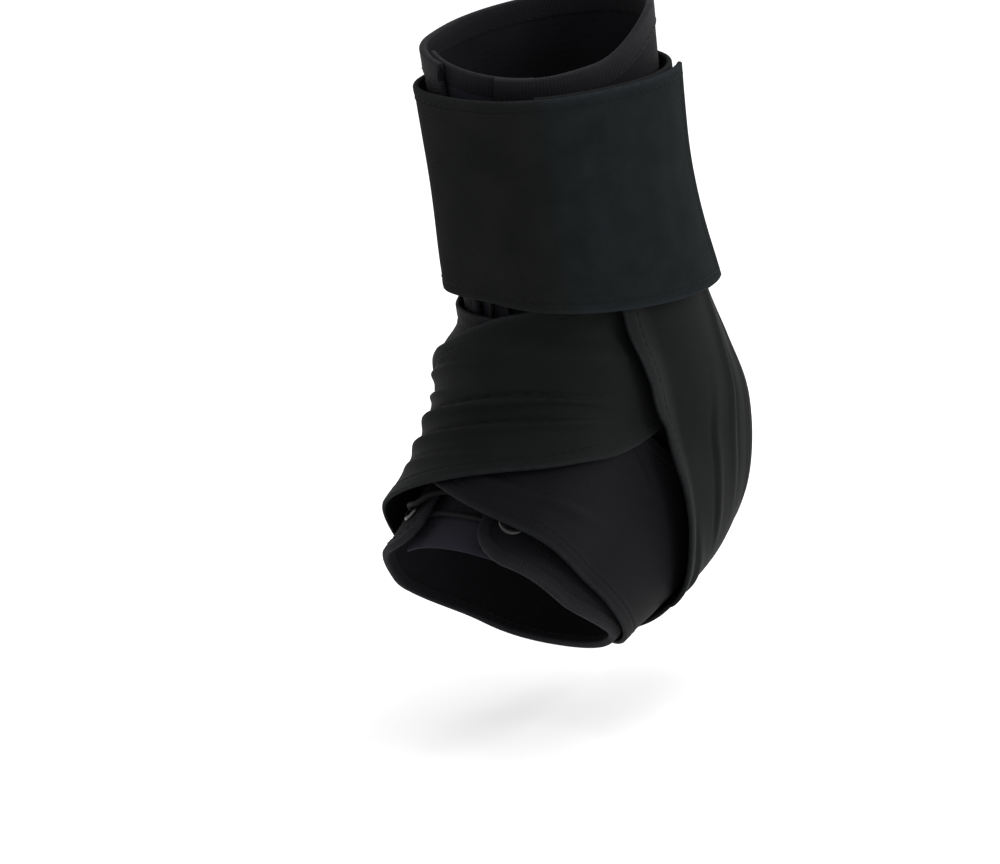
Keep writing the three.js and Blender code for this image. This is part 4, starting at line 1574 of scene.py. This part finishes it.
def tongue_pad():
    """The slack pad, and how firmly each of its points is sewn."""
    across = np.linspace(-1, 1, 31)
    up = np.linspace(0, 1, 101)
    angle = TONGUE_ANGLE * across[None, :]
    station = mix(TONGUE_TOE_STATION, collar_edge(angle), up[:, None])
    station, angle = np.broadcast_arrays(station, angle)
    up_mm = (station - TONGUE_TOE_STATION) * STATION_MM
    across_mm = angle / TONGUE_ANGLE * TONGUE_HALF_WIDTH
    rim = np.minimum(np.minimum(TONGUE_HALF_WIDTH - np.abs(across_mm), up_mm), (up[-1] - up[:, None]) * 190)
    edge = rounding(rim + 0.25, TONGUE_RIM)
    channel = np.exp(-((arch_distance(up_mm, across_mm) / SEAM_WIDTH) ** 2))
    thick = (TONGUE_WALL - TONGUE_SLACK) * edge
    top = SKIN_GAP + thick - 0.45 * MM * channel
    over = lifted(station, angle, top)
    under = lifted(station, angle, np.full(station.shape, SKIN_GAP))
    piece = sheet_piece("tongue_pad", over, under, up_mm, across_mm, np.zeros(station.shape), KNIT)
    sewn = np.maximum(channel > 0.4, rim < 1.0).astype(float)
    line = smooth_arch()
    return piece, sewn, line


def smooth_arch():
    """The arch as a seam on the pad's upper face."""
    centre = ARCH_TOP - ARCH_HALF
    turns = np.radians(np.linspace(0, 180, 40))
    leg = np.linspace(1.5, centre, 6)[:-1]
    up_mm = np.concatenate([leg, centre + ARCH_HALF * np.sin(turns), leg[::-1]])
    across_mm = np.concatenate([np.full(5, ARCH_HALF), ARCH_HALF * np.cos(turns), np.full(5, -ARCH_HALF)])
    station = TONGUE_TOE_STATION + up_mm / STATION_MM
    angle = across_mm / TONGUE_HALF_WIDTH * TONGUE_ANGLE
    lift = np.full(station.shape, SKIN_GAP + TONGUE_WALL - TONGUE_SLACK - 0.3 * MM)
    return lifted(station, angle, lift), directions(station, angle)[2]


# %% Tongue pad, filled
SWELL_PRESSURE = 20.0
KNIT_STIFFNESS = 3.0
SWELL_FRAMES = 20
SWELL_CAP = 0.8 * MM


def swell(piece, sewn):
    """Blows the pad up between its seams, and keeps the capped result in its mesh."""
    mesh = piece.data
    group = piece.vertex_groups.new(name="sewn")
    face_size = sewn.size
    for k, firm in enumerate(np.tile(sewn.ravel(), 2)):
        if firm > 0 or k >= face_size:
            group.add([k], 1.0, "REPLACE")
    rest = np.zeros(len(mesh.vertices) * 3)
    mesh.vertices.foreach_get("co", rest)
    modifier = piece.modifiers.new("foam", "CLOTH")
    modifier.settings.use_pressure = True
    modifier.settings.uniform_pressure_force = SWELL_PRESSURE
    modifier.settings.effector_weights.gravity = 0.0
    modifier.settings.vertex_group_mass = "sewn"
    modifier.settings.quality = 6
    modifier.settings.mass = 0.15
    modifier.settings.tension_stiffness = KNIT_STIFFNESS
    modifier.settings.compression_stiffness = KNIT_STIFFNESS
    modifier.settings.shear_stiffness = KNIT_STIFFNESS
    modifier.settings.bending_stiffness = 0.1
    modifier.point_cache.frame_start = 1
    modifier.point_cache.frame_end = SWELL_FRAMES
    for number in range(1, SWELL_FRAMES + 1):
        bpy.context.scene.frame_set(number)
    shaped = piece.evaluated_get(bpy.context.evaluated_depsgraph_get()).to_mesh()
    moved = np.zeros(len(shaped.vertices) * 3)
    shaped.vertices.foreach_get("co", moved)
    piece.modifiers.remove(modifier)
    bpy.context.scene.frame_set(1)
    travel = (moved - rest).reshape(-1, 3)
    reach = np.linalg.norm(travel, axis=1, keepdims=True)
    travel *= np.minimum(1, SWELL_CAP / np.maximum(reach, 1e-9))
    mesh.vertices.foreach_set("co", (rest.reshape(-1, 3) + travel).ravel())
    mesh.update()
    print("tongue swelled by", round(float(np.linalg.norm(travel, axis=1).max()) / MM, 2), "mm at most")


tongue, tongue_sewn, arch_line = tongue_pad()
swell(tongue, tongue_sewn)
finer = tongue.modifiers.new("finer", "SUBSURF")
finer.levels = 1
finer.render_levels = 1
bpy.context.view_layer.objects.active = tongue
bpy.ops.object.modifier_apply(modifier=finer.name)
tongue_stitches = stitches("tongue_stitches", [arch_line])

# %% [markdown]
# ### Tape on the tongue's top edge
# The tongue's upper edge is bound like the collar, so that the rim runs on across the gap
# between the flaps.

# %% Tongue tape


def tongue_top():
    """Trace of the tongue's top edge in mid wall."""
    angle = np.linspace(-TONGUE_ANGLE, TONGUE_ANGLE, 60)
    station = collar_edge(angle)
    edge = lifted(station, angle, np.full(len(angle), SKIN_GAP + (TONGUE_WALL - TONGUE_SLACK) / 2))
    forward = unit(np.gradient(edge, axis=0))
    out = directions(station, angle)[2]
    inward = unit(np.cross(forward, out))
    return edge, inward, unit(np.cross(inward, forward))


tongue_tape, tongue_tape_stitches = bound_edge(
    "tongue_tape",
    tongue_top(),
    leg_mm=COLLAR_PAST + 4.0,
    half_mm=1.1,
    past_mm=COLLAR_PAST - 0.4,
    both_sides=False,
)

# %% [markdown]
# ### Riding on the frame
# Every piece rides on the one body of the part and stands for its plain solid.

# %% Ride and replace
STANDS_FOR = (
    (body, "brace_body", "body_cloth"),
    (tongue, "tongue", "tongue_cloth"),
    (collar_tape, "collar_binding", "binding_tape"),
    (outer_strap, "outer_strap", "strap_cloth"),
    (inner_strap, "inner_strap", "strap_cloth"),
    (cuff, "cuff_wrap", "cuff_cloth"),
    (lace, "lace", "lace_cord"),
    *((ring, node, "eyelet_metal") for ring, node in eyelets),
)
for piece, node, slot in STANDS_FOR:
    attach(piece, "root")
    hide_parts(node)

SEWN_ON = (
    (front_tape, "binding_tape"),
    (heel_tape, "binding_tape"),
    (front_stitches, "body_cloth"),
    (heel_stitches, "body_cloth"),
    (stay_stitches, "body_cloth"),
    (collar_stitches, "binding_tape"),
    (outer_stitches, "strap_cloth"),
    (inner_stitches, "strap_cloth"),
    (cuff_stitches, "cuff_cloth"),
    (tongue_stitches, "tongue_cloth"),
    (tongue_tape, "binding_tape"),
    (tongue_tape_stitches, "tongue_cloth"),
)
for piece, slot in SEWN_ON:
    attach(piece, "root")
